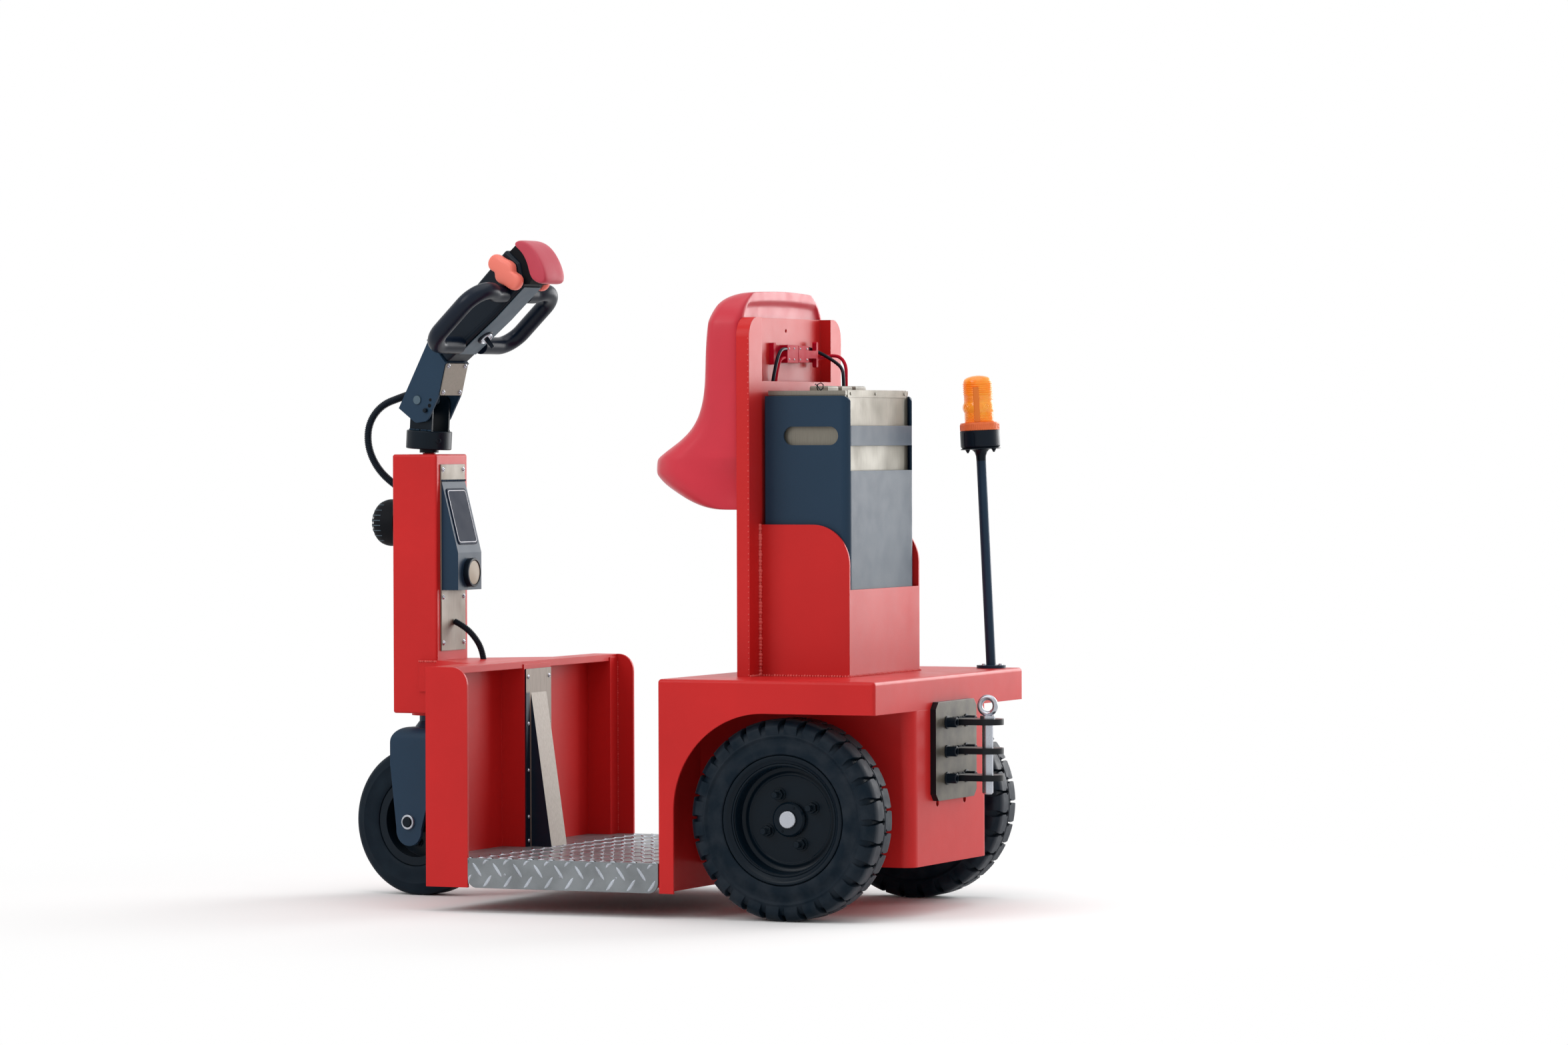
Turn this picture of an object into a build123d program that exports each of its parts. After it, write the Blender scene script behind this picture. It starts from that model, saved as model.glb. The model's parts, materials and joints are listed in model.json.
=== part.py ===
from build123d import *
import os
from math import asin, cos, degrees, hypot, pi, radians, sin, tan

# Stand-on three-wheel electric baggage tug. Lengths are millimetres.
# x runs forwards from the rear axle, y to the left, z up from the floor.
# Each kept piece is moved along x so that the origin is under the middle of the length.

# Sheet steel and clearances
sheet = 5.0
plate = 6.0
seat_gap = 0.3
pivot_gap = 0.3
edge_bend = 7.0

# Body
half_width = 390.0
deck_top = 475.0
deck_rear = -205.0
deck_front = 262.0
flange_bottom = 410.0
skirt_bottom = 50.0
leg_depth = 34.0
arch_radius = 195.0
box_half_width = 199.0
box_bottom = 100.0
box_corner = 26.0
tow_hole_radius = 7.0
tow_hole_spacing = 142.0
tow_hole_height = 222.0

# Rear wheels
rear_radius = 200.0
rear_tyre_width = 104.0
rear_wheel_y = 326.0
rear_flange_radius = 128.0
rear_seat_radius = 108.0
rear_ridge_radius = 166.0
rear_shoulder_radius = 186.0
rear_crown_half = 34.0
rear_lug_count = 28
rear_lug_depth = 11.0
rear_slit_width = 3.0
rear_slit_start = 8.0
rear_slit_end = 28.0
rear_notch_width = 13.0
shaft_radius = 17.5
axle_tube_radius = 42.0

# Front wheel, fork and steering
front_radius = 154.0
front_tyre_width = 84.0
front_axle_x = 982.0
front_flange_radius = 92.0
front_seat_radius = 80.0
front_axle_radius = 10.0
front_facets = 44
steer_x = 970.0
fork_sheet = 8.0
fork_wheel_gap = 10.0
fork_half_depth = 60.0
fork_foot_radius = 32.0
fork_foot_drop = 18.0
fork_top = 351.0
fork_bend = 28.0
stem_radius = 22.0
spindle_radius = 10.0

# Steering column
column_rear = 917.0
column_front = 1020.0
column_half_width = 71.0
column_bottom = 381.0
column_top = 919.0
boss_radius = 13.5
boss_height = 3.0
cover_half_width = 54.0
cover_thickness = 3.0
cover_bottom = 511.0
cover_top = 898.0
housing_half_width = 53.0
housing_top = 864.0
housing_knee = 715.0
housing_bottom = 637.0
housing_depth = 38.0
gauge_radius = 30.0
gauge_depth = 10.0
screen_margin = 10.0
screen_end_margin = 17.0
screen_thickness = 2.0
screen_corner = 8.0
horn_radius = 49.0
horn_height = 776.0
horn_depth = 78.0
horn_stand = 12.0
horn_dome = 40.0
horn_slat_pitch = 10.6
horn_slot = 5.0
horn_slot_depth = 22.0

# Front apron and platform
apron_rear = 684.0
apron_front = 778.0
apron_top = 492.0
apron_corner = 35.0
post_rear = 720.0
post_half_width = 62.0
corner_post_width = 38.0
bridge_bottom = 427.0
bridge_front = 957.0
bridge_rear_half_width = 190.0
platform_top = 109.5
platform_sheet = 4.0
platform_corner = 20.0
wedge_half_width = 35.5
wedge_depth = 46.0
wedge_top = 430.0

# Tow hitch
hitch_half_width = 107.0
hitch_bottom = 227.0
hitch_top = 424.0
hitch_plate = 12.0
hitch_chamfer = 14.0
hitch_tip = -317.0
hitch_pin_x = -284.5
hitch_ear_heights = (270.0, 324.0, 382.0)
hitch_ear_thickness = 12.0
hitch_ear_root = 34.0
pin_radius = 11.0
pin_bottom = 237.0
pin_ring_outer = 22.0
pin_ring_rod = 5.5

# Beacon
beacon_x = -155.0
beacon_y = -340.0
beacon_lean = 2.8
pole_radius = 10.0
pole_length = 454.0
pole_foot_radius = 30.0
beacon_base_radius = 41.0
beacon_base_height = 36.0
beacon_ring_height = 17.0
beacon_lens_radius = 29.8
beacon_lens_height = 84.0
beacon_cap_radius = 28.4
beacon_cap_height = 14.0
beacon_bulge = 3.0
beacon_bulge_low = 20.0
beacon_bulge_height = 21.0
beacon_step_count = 5
beacon_step_pitch = 4.2
beacon_step_depth = 1.4

# Pedestal, seat and battery
pedestal_half_width = 230.0
pedestal_rear = 133.0
pedestal_front = 161.0
pedestal_top = 1193.0
pedestal_corner = 40.0
notch_bottom = 1065.0
notch_left = 167.0
notch_right = 177.0
seat_bolt_height = 1168.0
seat_bolt_radius = 4.0
plug_height = 1121.0
plug_thickness = 18.0
plug_depth = 36.0
plug_left = 35.0
plug_right = -71.0
plug_handle_reach = -120.0
plug_handle_half = 26.0
plug_handle_bar = 9.0
plug_foot_y = 68.0
plug_foot_width = 11.0
lead_radius = 3.5
seat_half_width = 212.0
seat_top = 1249.0
seat_bottom = 808.0
seat_back_depth = 91.0
seat_nose_x = 388.0
seat_nose_z = 893.0
seat_corner = 78.0
seat_edge = 12.0
tray_rear = -62.0
tray_half_width = 180.0
tray_rear_top = 648.0
tray_side_top = 778.0
tray_arc = 80.0
cover_gap = 4.0
case_gap = 6.0
case_cover_gap = 12.0
wrap_sheet = 5.0
wrap_top = 1035.0
wrap_corner = 17.0
case_top = 1036.0
lid_height = 9.0
window_low = (885.0, 935.0)
window_high = 975.0
slot_length = 119.0
slot_height = 37.0
slot_centre_x = 25.0
slot_centre_z = 955.0

# Tiller
collar_radius = 47.5
collar_height = 38.0
collar_centre_z = 949.0
collar_lean = 3.6
shoulder_radius = 20.0
pivot_z = 1032.0
pivot_radius = 9.0
clevis_half_width = 31.5
clevis_sheet = 5.0
clevis_depth = 56.0
arm_half_width = 40.0
arm_sheet = 5.0
arm_foot = ((1018.7, 1015.0), (975.0, 984.0), (945.0, 988.0), (916.0, 1040.0))
arm_foot_round = 14.0
arm_cover_sheet = 2.0
arm_cover_margin = 2.0
head_x = 880.0
head_z = 1150.0
head_rise = 42.0
head_half_width = 38.0
head_start = -40.0
head_under = -18.0
head_over = 46.0
head_outline = ((30.0, 47.0), (228.0, 51.0), (235.0, 7.0), (211.0, -33.0), (113.0, -31.0))
head_round = 7.0
button_gap = 4.0
button_half_width = 36.0
button_reach = 282.0
button_round = 9.0
grip_radius = 18.0
grip_reach = 160.0
grip_low = 8.0
grip_high = 192.0
grip_drop = -14.0
grip_bend = 44.0
grip_root_back = 28.5
grip_root_length = 32.0
throttle_along = 183.0
throttle_over = 15.0
throttle_hub_radius = 15.0
throttle_hub_depth = 26.0
throttle_wing_reach = 37.0
throttle_wing_sweep = 15.0
throttle_wing_radius = 8.0
throttle_wing_depth = 14.0
conduit_radius = 8.0
conduit_low = 842.0
gland_radius = 12.0
gland_depth = 9.0
clip_height = 1050.0
clip_half_width = 12.0
clip_slope = 15.0
clip_boss_length = 10.0
column_conduit_radius = 6.75
steer_turn = -9.0

# Routes of the conduits and of the battery leads, as they lie on the parked tug
tiller_conduit_route = (
    (1028.0, 0, 842),
    (1062, 0, 861),
    (1096, 2, 896),
    (1114, 3, 940),
    (1112, -1, 986),
    (1086, -8, 1022),
    (1041.8, -11.36, 1038.0),
    (1007.5, -5.93, 1047.3),
)
column_conduit_route = (
    (913, -2, 571),
    (890, -5, 560),
    (868, -12, 535),
    (858, -20, 510),
    (856, -22, 491),
)
lead_routes = {
    "black_left": (
        (139, 35, 1131),
        (139, 54, 1131),
        (139, 71, 1121),
        (140, 82, 1101),
        (143, 87, 1077),
        (147, 88, 1050),
        (147.5, 88.5, 1028),
    ),
    "red_left": (
        (141, 35, 1113),
        (141, 50, 1113),
        (141.5, 63, 1105),
        (143, 70, 1087),
        (146, 72, 1065),
        (147, 72, 1040),
    ),
    "black_right": (
        (151, -71, 1134),
        (151, -97, 1134),
        (151.5, -130, 1131),
        (137, -147, 1122),
        (113, -148, 1108),
        (90, -134, 1095),
        (75, -110, 1079),
        (75, -110, 1045.6),
    ),
    "red_right": (
        (151, -71, 1108),
        (151, -97, 1108),
        (151.5, -128, 1109),
        (145, -151, 1114),
        (128, -166, 1120),
        (107, -169, 1117),
        (92, -162, 1099),
        (88, -153, 1075),
        (88, -153, 1045.6),
    ),
}

# Measures worked out from the ones above
centre_height = rear_radius
deck_under = deck_top - sheet
plug_x = (pedestal_rear + pedestal_front - sheet) / 2
fork_inner = front_tyre_width / 2 + fork_wheel_gap
fork_outer = fork_inner + fork_sheet


def block(x0, x1, y0, y1, z0, z1):
    """Box between two corners."""
    size = Box(x1 - x0, y1 - y0, z1 - z0)
    return Pos((x0 + x1) / 2, (y0 + y1) / 2, (z0 + z1) / 2) * size


def side_slab(face, y0, y1):
    """Side-view face, drawn in x and z, made solid from y0 to y1."""
    return extrude(Plane.XZ.offset(-y1) * face, amount=y1 - y0)


def front_slab(face, x0, x1):
    """Front-view face, drawn in y and z, made solid from x0 to x1."""
    return extrude(Plane.YZ.offset(x0) * face, amount=x1 - x0)


def top_slab(face, z0, z1):
    """Plan-view face, drawn in x and y, made solid from z0 to z1."""
    return extrude(Plane.XY.offset(z0) * face, amount=z1 - z0)


def rod_y(x, z, radius, y0, y1):
    """Round bar along y."""
    return side_slab(Pos(x, z) * Circle(radius), y0, y1)


def rod_x(y, z, radius, x0, x1):
    """Round bar along x."""
    return front_slab(Pos(y, z) * Circle(radius), x0, x1)


def rod_z(x, y, radius, z0, z1):
    """Round bar along z."""
    return top_slab(Pos(x, y) * Circle(radius), z0, z1)


def rect(x0, x1, y0, y1):
    """Flat rectangle between two corners."""
    return Pos((x0 + x1) / 2, (y0 + y1) / 2) * Rectangle(x1 - x0, y1 - y0)


def outline(*points):
    """Flat face with straight sides."""
    return make_face(Polyline(*points, close=True))


def round_corners(face, radius, keep):
    """Rounds the corners of a flat face that keep(point) picks."""
    picked = [v for v in face.vertices() if keep(v)]
    return fillet(picked, radius)


def steered(shape):
    """Turns a piece about the steering axis, as the tug stands parked."""
    return Pos(steer_x, 0, 0) * Rot(0, 0, steer_turn) * Pos(-steer_x, 0, 0) * shape


def save(node, shape, mid_x):
    """Writes one piece, moved to the kept origin."""
    moved = Pos(-mid_x, 0, 0) * shape
    moved.label = node
    export_step(moved, f"parts/{node}.step")


def flat_ring(section, sides):
    """Ring about y with flat sides, from its section drawn in radius and y."""
    reach = section.bounding_box().max.X * 1.2
    across = reach * tan(radians(180 / sides))
    wedge = outline((0, 0), (reach, across), (reach, -across))
    piece = extrude(section, amount=across, both=True) & side_slab(wedge, -reach, reach)
    turned = [Rot(0, k * 360 / sides, 0) * piece for k in range(sides)]
    return turned[0] + turned[1:]


def lug_cuts():
    """Cuts between the lugs of the two rows, which stand half a pitch apart."""
    half = rear_tyre_width / 2
    slit = rear_slit_width / 2
    notch = rear_notch_width / 2
    plan = outline(
        (-slit, rear_slit_start),
        (slit, rear_slit_start),
        (slit, rear_slit_end),
        (notch, half + 1),
        (-notch, half + 1),
        (-slit, rear_slit_end),
    )
    cut = top_slab(plan, rear_radius - rear_lug_depth, rear_radius + 5)
    other = mirror(cut, Plane.XZ)
    pitch = 360 / rear_lug_count
    cuts = []
    for k in range(rear_lug_count):
        cuts.append(Rot(0, k * pitch, 0) * cut)
        cuts.append(Rot(0, (k + 0.5) * pitch, 0) * other)
    return cuts


def rear_tyre():
    """Solid tyre with two rows of lugs, turned about its own axle."""
    half = rear_tyre_width / 2
    bead = rear_flange_radius + 1.5
    flange_y = half - 12.0
    section = outline(
        (rear_seat_radius, -flange_y),
        (bead, -flange_y),
        (bead, -half + 5),
        (rear_ridge_radius, -half),
        (rear_shoulder_radius, -half),
        (rear_radius, -rear_crown_half),
        (rear_radius, rear_crown_half),
        (rear_shoulder_radius, half),
        (rear_ridge_radius, half),
        (bead, half - 5),
        (bead, flange_y),
        (rear_seat_radius, flange_y),
    )
    return flat_ring(section, 2 * rear_lug_count) - lug_cuts()


def rear_rim():
    """Pressed steel wheel: barrel, two flanges, recessed disc, hub boss."""
    half = rear_tyre_width / 2
    flange_in = half - 12.0 + seat_gap
    flange_out = flange_in + 6.0
    outer = rear_seat_radius - seat_gap
    inner = outer - 6.0
    profile = outline(
        (shaft_radius, -2),
        (inner - 12, -2),
        (inner, -14),
        (inner, -flange_out),
        (rear_flange_radius, -flange_out),
        (rear_flange_radius, -flange_in),
        (outer, -flange_in),
        (outer, flange_in),
        (rear_flange_radius, flange_in),
        (rear_flange_radius, flange_out),
        (inner, flange_out),
        (inner, 2),
        (inner - 12, 6),
        (34.5, 6),
        (34.5, 14),
        (30.5, 18),
        (shaft_radius, 18),
    )
    return revolve(profile, Axis.Y, 360)


def place_rear(shape, side):
    """Puts a wheel piece on the rear axle, its outer face to the side given."""
    turned = shape if side > 0 else Rot(0, 0, 180) * shape
    return Pos(0, side * rear_wheel_y, centre_height) * turned


def half_shaft(side):
    """Driven stub that carries a rear wheel in the axle tube."""
    inner_end = 165.0
    outer_end = rear_wheel_y + 24.0
    bar = rod_y(0, centre_height, shaft_radius - 0.1, inner_end, outer_end)
    bar = chamfer(bar.edges().group_by(Axis.Y)[-1], 1.5)
    return bar if side > 0 else mirror(bar, Plane.XZ)


def front_tyre():
    """Smooth solid tyre of the steered wheel."""
    half = front_tyre_width / 2
    bead = front_flange_radius + 1.5
    flange_y = half - 10.0
    shoulder = front_radius - 9.0
    section = outline(
        (front_seat_radius, -flange_y),
        (bead, -flange_y),
        (bead, -half + 3),
        (bead + 8, -half),
        (shoulder, -half + 1),
        (front_radius, -half + 12),
        (front_radius, half - 12),
        (shoulder, half - 1),
        (bead + 8, half),
        (bead, half - 3),
        (bead, flange_y),
        (front_seat_radius, flange_y),
    )
    return Pos(front_axle_x, 0, front_radius) * flat_ring(section, front_facets)


def front_rim():
    """Rim of the steered wheel, its hub running on the axle."""
    half = front_tyre_width / 2
    flange_in = half - 10.0 + seat_gap
    flange_out = flange_in + 5.0
    outer = front_seat_radius - seat_gap
    inner = outer - 5.0
    bore = front_axle_radius + 0.05
    profile = outline(
        (bore, -half - 4),
        (24, -half - 4),
        (24, -5),
        (inner, -5),
        (inner, -flange_out),
        (front_flange_radius, -flange_out),
        (front_flange_radius, -flange_in),
        (outer, -flange_in),
        (outer, flange_in),
        (front_flange_radius, flange_in),
        (front_flange_radius, flange_out),
        (inner, flange_out),
        (inner, 5),
        (24, 5),
        (24, half + 4),
        (bore, half + 4),
    )
    shape = revolve(profile, Axis.Y, 360)
    return Pos(front_axle_x, 0, front_radius) * shape


def front_axle():
    """Through axle of the steered wheel, with a nut at each end."""
    end = fork_outer + 9.0
    bar = rod_y(front_axle_x, front_radius, front_axle_radius, -end, end)
    for side in (-1, 1):
        nut = rod_y(front_axle_x, front_radius, 15.0, fork_outer, fork_outer + 5.0)
        bar += nut if side > 0 else mirror(nut, Plane.XZ)
    return bar


def fork():
    """Bent plate fork with the steering stem."""
    half = fork_half_depth
    foot_z = front_radius - fork_foot_drop
    top_width = 2 * half
    upper = rect(steer_x - half, steer_x + half, 270, fork_top)
    upper = round_corners(upper, 34.0, lambda v: v.Y > fork_top - 1)
    foot = Pos(front_axle_x, foot_z) * Circle(fork_foot_radius)
    taper = outline(
        (steer_x - half, 275),
        (steer_x + half, 275),
        (front_axle_x + fork_foot_radius, foot_z + 4),
        (front_axle_x + fork_foot_radius * 0.9, foot_z - fork_foot_radius * 0.43),
        (front_axle_x - fork_foot_radius * 0.9, foot_z - fork_foot_radius * 0.43),
        (front_axle_x - fork_foot_radius, foot_z + 4),
    )
    side_view = upper + taper + foot
    outer = rect(-fork_outer, fork_outer, -10, fork_top)
    outer = round_corners(outer, fork_bend, lambda v: v.Y > fork_top - 1)
    inner = rect(-fork_inner, fork_inner, -11, fork_top - fork_sheet)
    inner = round_corners(inner, fork_bend - fork_sheet, lambda v: v.Y > fork_top - 20)
    bent = front_slab(outer - inner, steer_x - top_width, steer_x + top_width)
    shape = bent & side_slab(side_view, -fork_outer, fork_outer)
    bore = front_axle_radius + 0.05
    shape -= rod_y(front_axle_x, front_radius, bore, -fork_outer - 1, fork_outer + 1)
    stem = rod_z(steer_x, 0, stem_radius, fork_top - 1, column_bottom + 22)
    foot_cone = Pos(steer_x, 0, fork_top + 6) * Cone(stem_radius + 9, stem_radius, 12)
    spindle = rod_z(steer_x, 0, spindle_radius, column_bottom + 21, collar_centre_z - 21)
    return shape + stem + foot_cone + spindle


def column():
    """Square steering column, hollow, with bearing plates at both ends."""
    outer = block(
        column_rear,
        column_front,
        -column_half_width,
        column_half_width,
        column_bottom,
        column_top,
    )
    outer = fillet(outer.edges(), 5.0)
    inner = block(
        column_rear + sheet,
        column_front - sheet,
        -column_half_width + sheet,
        column_half_width - sheet,
        column_bottom + sheet,
        column_top - sheet,
    )
    shape = outer - inner
    boss = rod_z(steer_x, 0, boss_radius, column_top - 1, column_top + boss_height)
    lower = rod_z(steer_x, 0, 38.0, column_bottom - 6, column_bottom + 1)
    lower += rod_z(steer_x, 0, 30.0, column_bottom, column_bottom + 26)
    shape += boss + lower
    shape += rod_x(0, conduit_low, gland_radius, column_front - 1, column_front + gland_depth)
    stem_bore = rod_z(steer_x, 0, stem_radius + 0.05, column_bottom - 7, column_bottom + 27)
    top_bore = rod_z(steer_x, 0, spindle_radius + 0.05, column_top - 6, column_top + 8)
    return shape - stem_bore - top_bore


def column_cover():
    """Stainless cover plate on the rear of the column."""
    face = rect(-cover_half_width, cover_half_width, cover_bottom, cover_top)
    return front_slab(face, column_rear - cover_thickness, column_rear)


def display_housing():
    """Bent sheet housing of the display, wedge shaped, on the cover plate."""
    face_x = column_rear - cover_thickness
    view = outline(
        (face_x, housing_top),
        (face_x - housing_depth, housing_knee),
        (face_x - housing_depth, housing_bottom),
        (face_x, housing_bottom),
    )
    return side_slab(view, -housing_half_width, housing_half_width)


def gauge():
    """Round battery gauge in the vertical face of the housing."""
    face_x = column_rear - cover_thickness - housing_depth
    centre = (housing_knee + housing_bottom) / 2 - 3
    body = rod_x(0, centre, gauge_radius, face_x - gauge_depth, face_x)
    return fillet(body.edges().group_by(Axis.X)[0], 3.0)


def display_screen():
    """Framed screen let on to the slanted face of the housing."""
    face_x = column_rear - cover_thickness
    length = hypot(housing_depth, housing_top - housing_knee)
    lean = degrees(asin(housing_depth / length))
    width = 2 * (housing_half_width - screen_margin)
    pad = Box(screen_thickness, width, length - 2 * screen_end_margin)
    pad = fillet(pad.edges().filter_by(Axis.X), screen_corner)
    mid = Pos(face_x - housing_depth / 2, 0, (housing_top + housing_knee) / 2)
    return mid * Rot(0, lean, 0) * Pos(-screen_thickness / 2, 0, 0) * pad


def horn():
    """Round horn on the front of the column, its dome cut into level slats."""
    start = column_front + horn_stand
    tip = column_front + horn_depth
    rim = tip - horn_dome
    back = Polyline((rim, horn_radius), (start, horn_radius), (start, 0), (tip, 0))
    dome = EllipticalCenterArc((rim, 0), horn_dome, horn_radius, start_angle=0, arc_size=90)
    body = revolve(make_face(back + dome), Axis.X, 360)
    slot_x = tip - horn_slot_depth
    inside = rod_x(0, 0, horn_radius - 8, slot_x, tip + 1)
    for k in range(-3, 4):
        z = k * horn_slat_pitch
        slot = block(slot_x, tip + 1, -horn_radius, horn_radius, z - horn_slot / 2, z + horn_slot / 2)
        body -= slot & inside
    body += rod_x(0, 0, 9.0, column_front, start + 1)
    return Pos(0, 0, horn_height) * body


def apron():
    """Front apron: side panels, wall, top plate, three posts, bridge to the column."""
    panel = rect(apron_rear, apron_front, skirt_bottom, apron_top)
    panel = round_corners(
        panel, apron_corner, lambda v: v.Y > apron_top - 1 and v.X < apron_rear + 1
    )
    left = side_slab(panel, half_width - plate, half_width)
    right = side_slab(panel, -half_width, -half_width + plate)
    inner = half_width - plate
    wall = block(apron_front - plate, apron_front, -inner, inner, skirt_bottom, apron_top)
    wall_face = apron_front - plate
    top = block(post_rear + 2, wall_face, -inner, inner, apron_top - plate, apron_top)
    lip = block(post_rear + 2, post_rear + 8, -inner, inner, apron_top - 14, apron_top - plate)
    shape = left + right + wall + top + lip
    posts = block(
        post_rear, wall_face, -post_half_width, post_half_width, platform_top, apron_top - plate
    )
    for side in (-1, 1):
        edge_a = side * inner
        edge_b = side * (inner - corner_post_width)
        low, high = min(edge_a, edge_b), max(edge_a, edge_b)
        posts += block(post_rear, wall_face, low, high, platform_top, apron_top - plate)
    return shape + posts + bridge()


def bridge():
    """Tapered box that carries the column on the apron."""
    clear = column_half_width
    outer = outline(
        (apron_front - 1, -bridge_rear_half_width),
        (apron_front - 1, bridge_rear_half_width),
        (column_rear, clear + sheet),
        (bridge_front, clear + sheet),
        (bridge_front, clear),
        (column_rear, clear),
        (column_rear, -clear),
        (bridge_front, -clear),
        (bridge_front, -clear - sheet),
        (column_rear, -clear - sheet),
    )
    full = top_slab(outer, bridge_bottom, apron_top)
    hollow = outline(
        (apron_front - 0.5, -bridge_rear_half_width + 2 * sheet),
        (apron_front - 0.5, bridge_rear_half_width - 2 * sheet),
        (column_rear, clear - sheet),
        (column_rear, -clear + sheet),
    )
    return full - top_slab(hollow, bridge_bottom + sheet, apron_top - sheet)


def wedge_cover():
    """Stainless cover of the central post, with its wedge shaped duct."""
    face_x = post_rear
    plate_view = rect(-post_half_width + 4, post_half_width - 4, platform_top, apron_top - 16)
    shape = front_slab(plate_view, face_x - cover_thickness, face_x)
    wedge = outline(
        (face_x - cover_thickness + 0.5, wedge_top),
        (face_x - cover_thickness - wedge_depth, platform_top),
        (face_x - cover_thickness + 0.5, platform_top),
    )
    return shape + side_slab(wedge, -wedge_half_width, wedge_half_width)


def platform_deck():
    """Standing platform with a skirt down each side."""
    wall = apron_front - plate
    inner = half_width - plate
    under = platform_top - platform_sheet
    top = block(deck_front, apron_rear, -half_width, half_width, under, platform_top)
    top += block(apron_rear - 1, wall, -inner, inner, under, platform_top)
    skirt = rect(deck_front, apron_rear, skirt_bottom, platform_top)
    skirt = round_corners(skirt, platform_corner, lambda v: v.Y < skirt_bottom + 1)
    top += side_slab(skirt, half_width - platform_sheet, half_width)
    top += side_slab(skirt, -half_width, -half_width + platform_sheet)
    return top


def platform_frame():
    """Two long beams and two cross beams under the platform."""
    under = platform_top - platform_sheet
    wall = apron_front - plate
    bars = None
    for side in (-1, 1):
        beam = block(
            deck_front, wall, side * 250 - 25, side * 250 + 25, skirt_bottom + 2, under
        )
        bars = beam if bars is None else bars + beam
    for x in (deck_front + 60, apron_rear - 60):
        bars += block(x - 20, x + 20, -250, 250, skirt_bottom + 2, under)
    return bars


def rear_body():
    """Folded deck with its flanges, side panels cut to the arch, and bulkhead."""
    outer = block(deck_rear, deck_front, -half_width, half_width, skirt_bottom, deck_top)
    rounded = outer.edges().group_by(Axis.Z)[-1] + outer.edges().filter_by(Axis.Z)
    outer = fillet(rounded, edge_bend)
    inner = block(
        deck_rear + sheet,
        deck_front - sheet,
        -half_width + sheet,
        half_width - sheet,
        skirt_bottom - 1,
        deck_under,
    )
    shape = outer - inner
    leg_x = deck_front - leg_depth
    arch_x = leg_x - arch_radius
    arch_z = flange_bottom - arch_radius
    arch = rect(deck_rear - 10, leg_x, 0, flange_bottom)
    arch = round_corners(
        arch, arch_radius, lambda v: v.Y > flange_bottom - 1 and v.X > arch_x
    )
    shape -= side_slab(arch, -half_width - 10, half_width + 10)
    return shape


def rear_box():
    """Hollow drive box between the rear wheels."""
    front = deck_front - sheet
    view = rect(deck_rear, front, -box_half_width, box_half_width)
    view = round_corners(view, box_corner, lambda v: v.X < deck_rear + 1)
    shape = top_slab(view, box_bottom, deck_under)
    inner = rect(
        deck_rear + sheet, front - sheet, -box_half_width + sheet, box_half_width - sheet
    )
    inner = round_corners(inner, box_corner - sheet, lambda v: v.X < deck_rear + 6)
    shape -= top_slab(inner, box_bottom + sheet, deck_under - sheet)
    behind_flange = block(
        deck_rear - 1, deck_rear + sheet, -half_width, half_width, flange_bottom, deck_top
    )
    shape -= behind_flange
    for side in (-1, 1):
        y = side * tow_hole_spacing / 2
        shape -= rod_x(y, tow_hole_height, tow_hole_radius, deck_rear - 1, deck_rear + 9)
    bore = axle_tube_radius + seat_gap
    shape -= rod_y(0, centre_height, bore, -box_half_width - 1, box_half_width + 1)
    return shape


def drive_axle():
    """Motor and gear case as one block, with the axle tubes out to the wheels."""
    tube_end = rear_wheel_y - rear_tyre_width / 2 - 6
    shape = rod_y(0, centre_height, axle_tube_radius, -tube_end, tube_end)
    shape += block(-110, 110, -120, 120, 130, 300)
    bore = shaft_radius + 0.1
    for side in (-1, 1):
        hole = rod_y(0, centre_height, bore, 160, tube_end + 1)
        shape -= hole if side > 0 else mirror(hole, Plane.XZ)
    return shape


def hitch():
    """Tow hitch: mounting plate with three ears bored for the pin."""
    face = rect(-hitch_half_width, hitch_half_width, hitch_bottom, hitch_top)
    face = chamfer(face.vertices(), hitch_chamfer)
    shape = front_slab(face, deck_rear - hitch_plate, deck_rear)
    tip_radius = hitch_pin_x - hitch_tip
    for z in hitch_ear_heights:
        root_x = deck_rear - hitch_plate + 1
        ear = outline(
            (root_x, -hitch_ear_root),
            (root_x, hitch_ear_root),
            (hitch_pin_x, tip_radius),
            (hitch_pin_x, -tip_radius),
        )
        ear += Pos(hitch_pin_x, 0) * Circle(tip_radius)
        ear -= Pos(hitch_pin_x, 0) * Circle(pin_radius + 1.0)
        shape += top_slab(ear, z - hitch_ear_thickness / 2, z + hitch_ear_thickness / 2)
    return shape


def hitch_pin():
    """Drop pin with a pull ring, resting on the top ear."""
    rest_z = hitch_ear_heights[-1] + hitch_ear_thickness / 2 + seat_gap
    bar = rod_z(hitch_pin_x, 0, pin_radius, pin_bottom, rest_z + 2)
    bar = chamfer(bar.edges().group_by(Axis.Z)[0], 3.0)
    bar += rod_z(hitch_pin_x, 0, pin_radius + 4, rest_z, rest_z + 6)
    ring_z = rest_z + 6 + pin_ring_outer
    ring = Torus(pin_ring_outer - pin_ring_rod, pin_ring_rod)
    bar += Pos(hitch_pin_x, 0, ring_z - 2) * Rot(90, 0, 0) * ring
    return bar


def on_pole(shape):
    """Leans a piece of the beacon with its pole."""
    return Pos(beacon_x, beacon_y, deck_top) * Rot(0, beacon_lean, 0) * shape


def beacon_pole():
    """Black pole on a round foot."""
    bar = on_pole(rod_z(0, 0, pole_radius, 4, pole_length))
    foot = rod_z(beacon_x, beacon_y, pole_foot_radius, deck_top, deck_top + 6)
    return bar + foot


def beacon_base():
    """Black base of the beacon."""
    low = pole_length
    cup = rod_z(0, 0, beacon_base_radius, low, low + beacon_base_height)
    cup = fillet(cup.edges().group_by(Axis.Z)[0], 6.0)
    return on_pole(cup)


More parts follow.
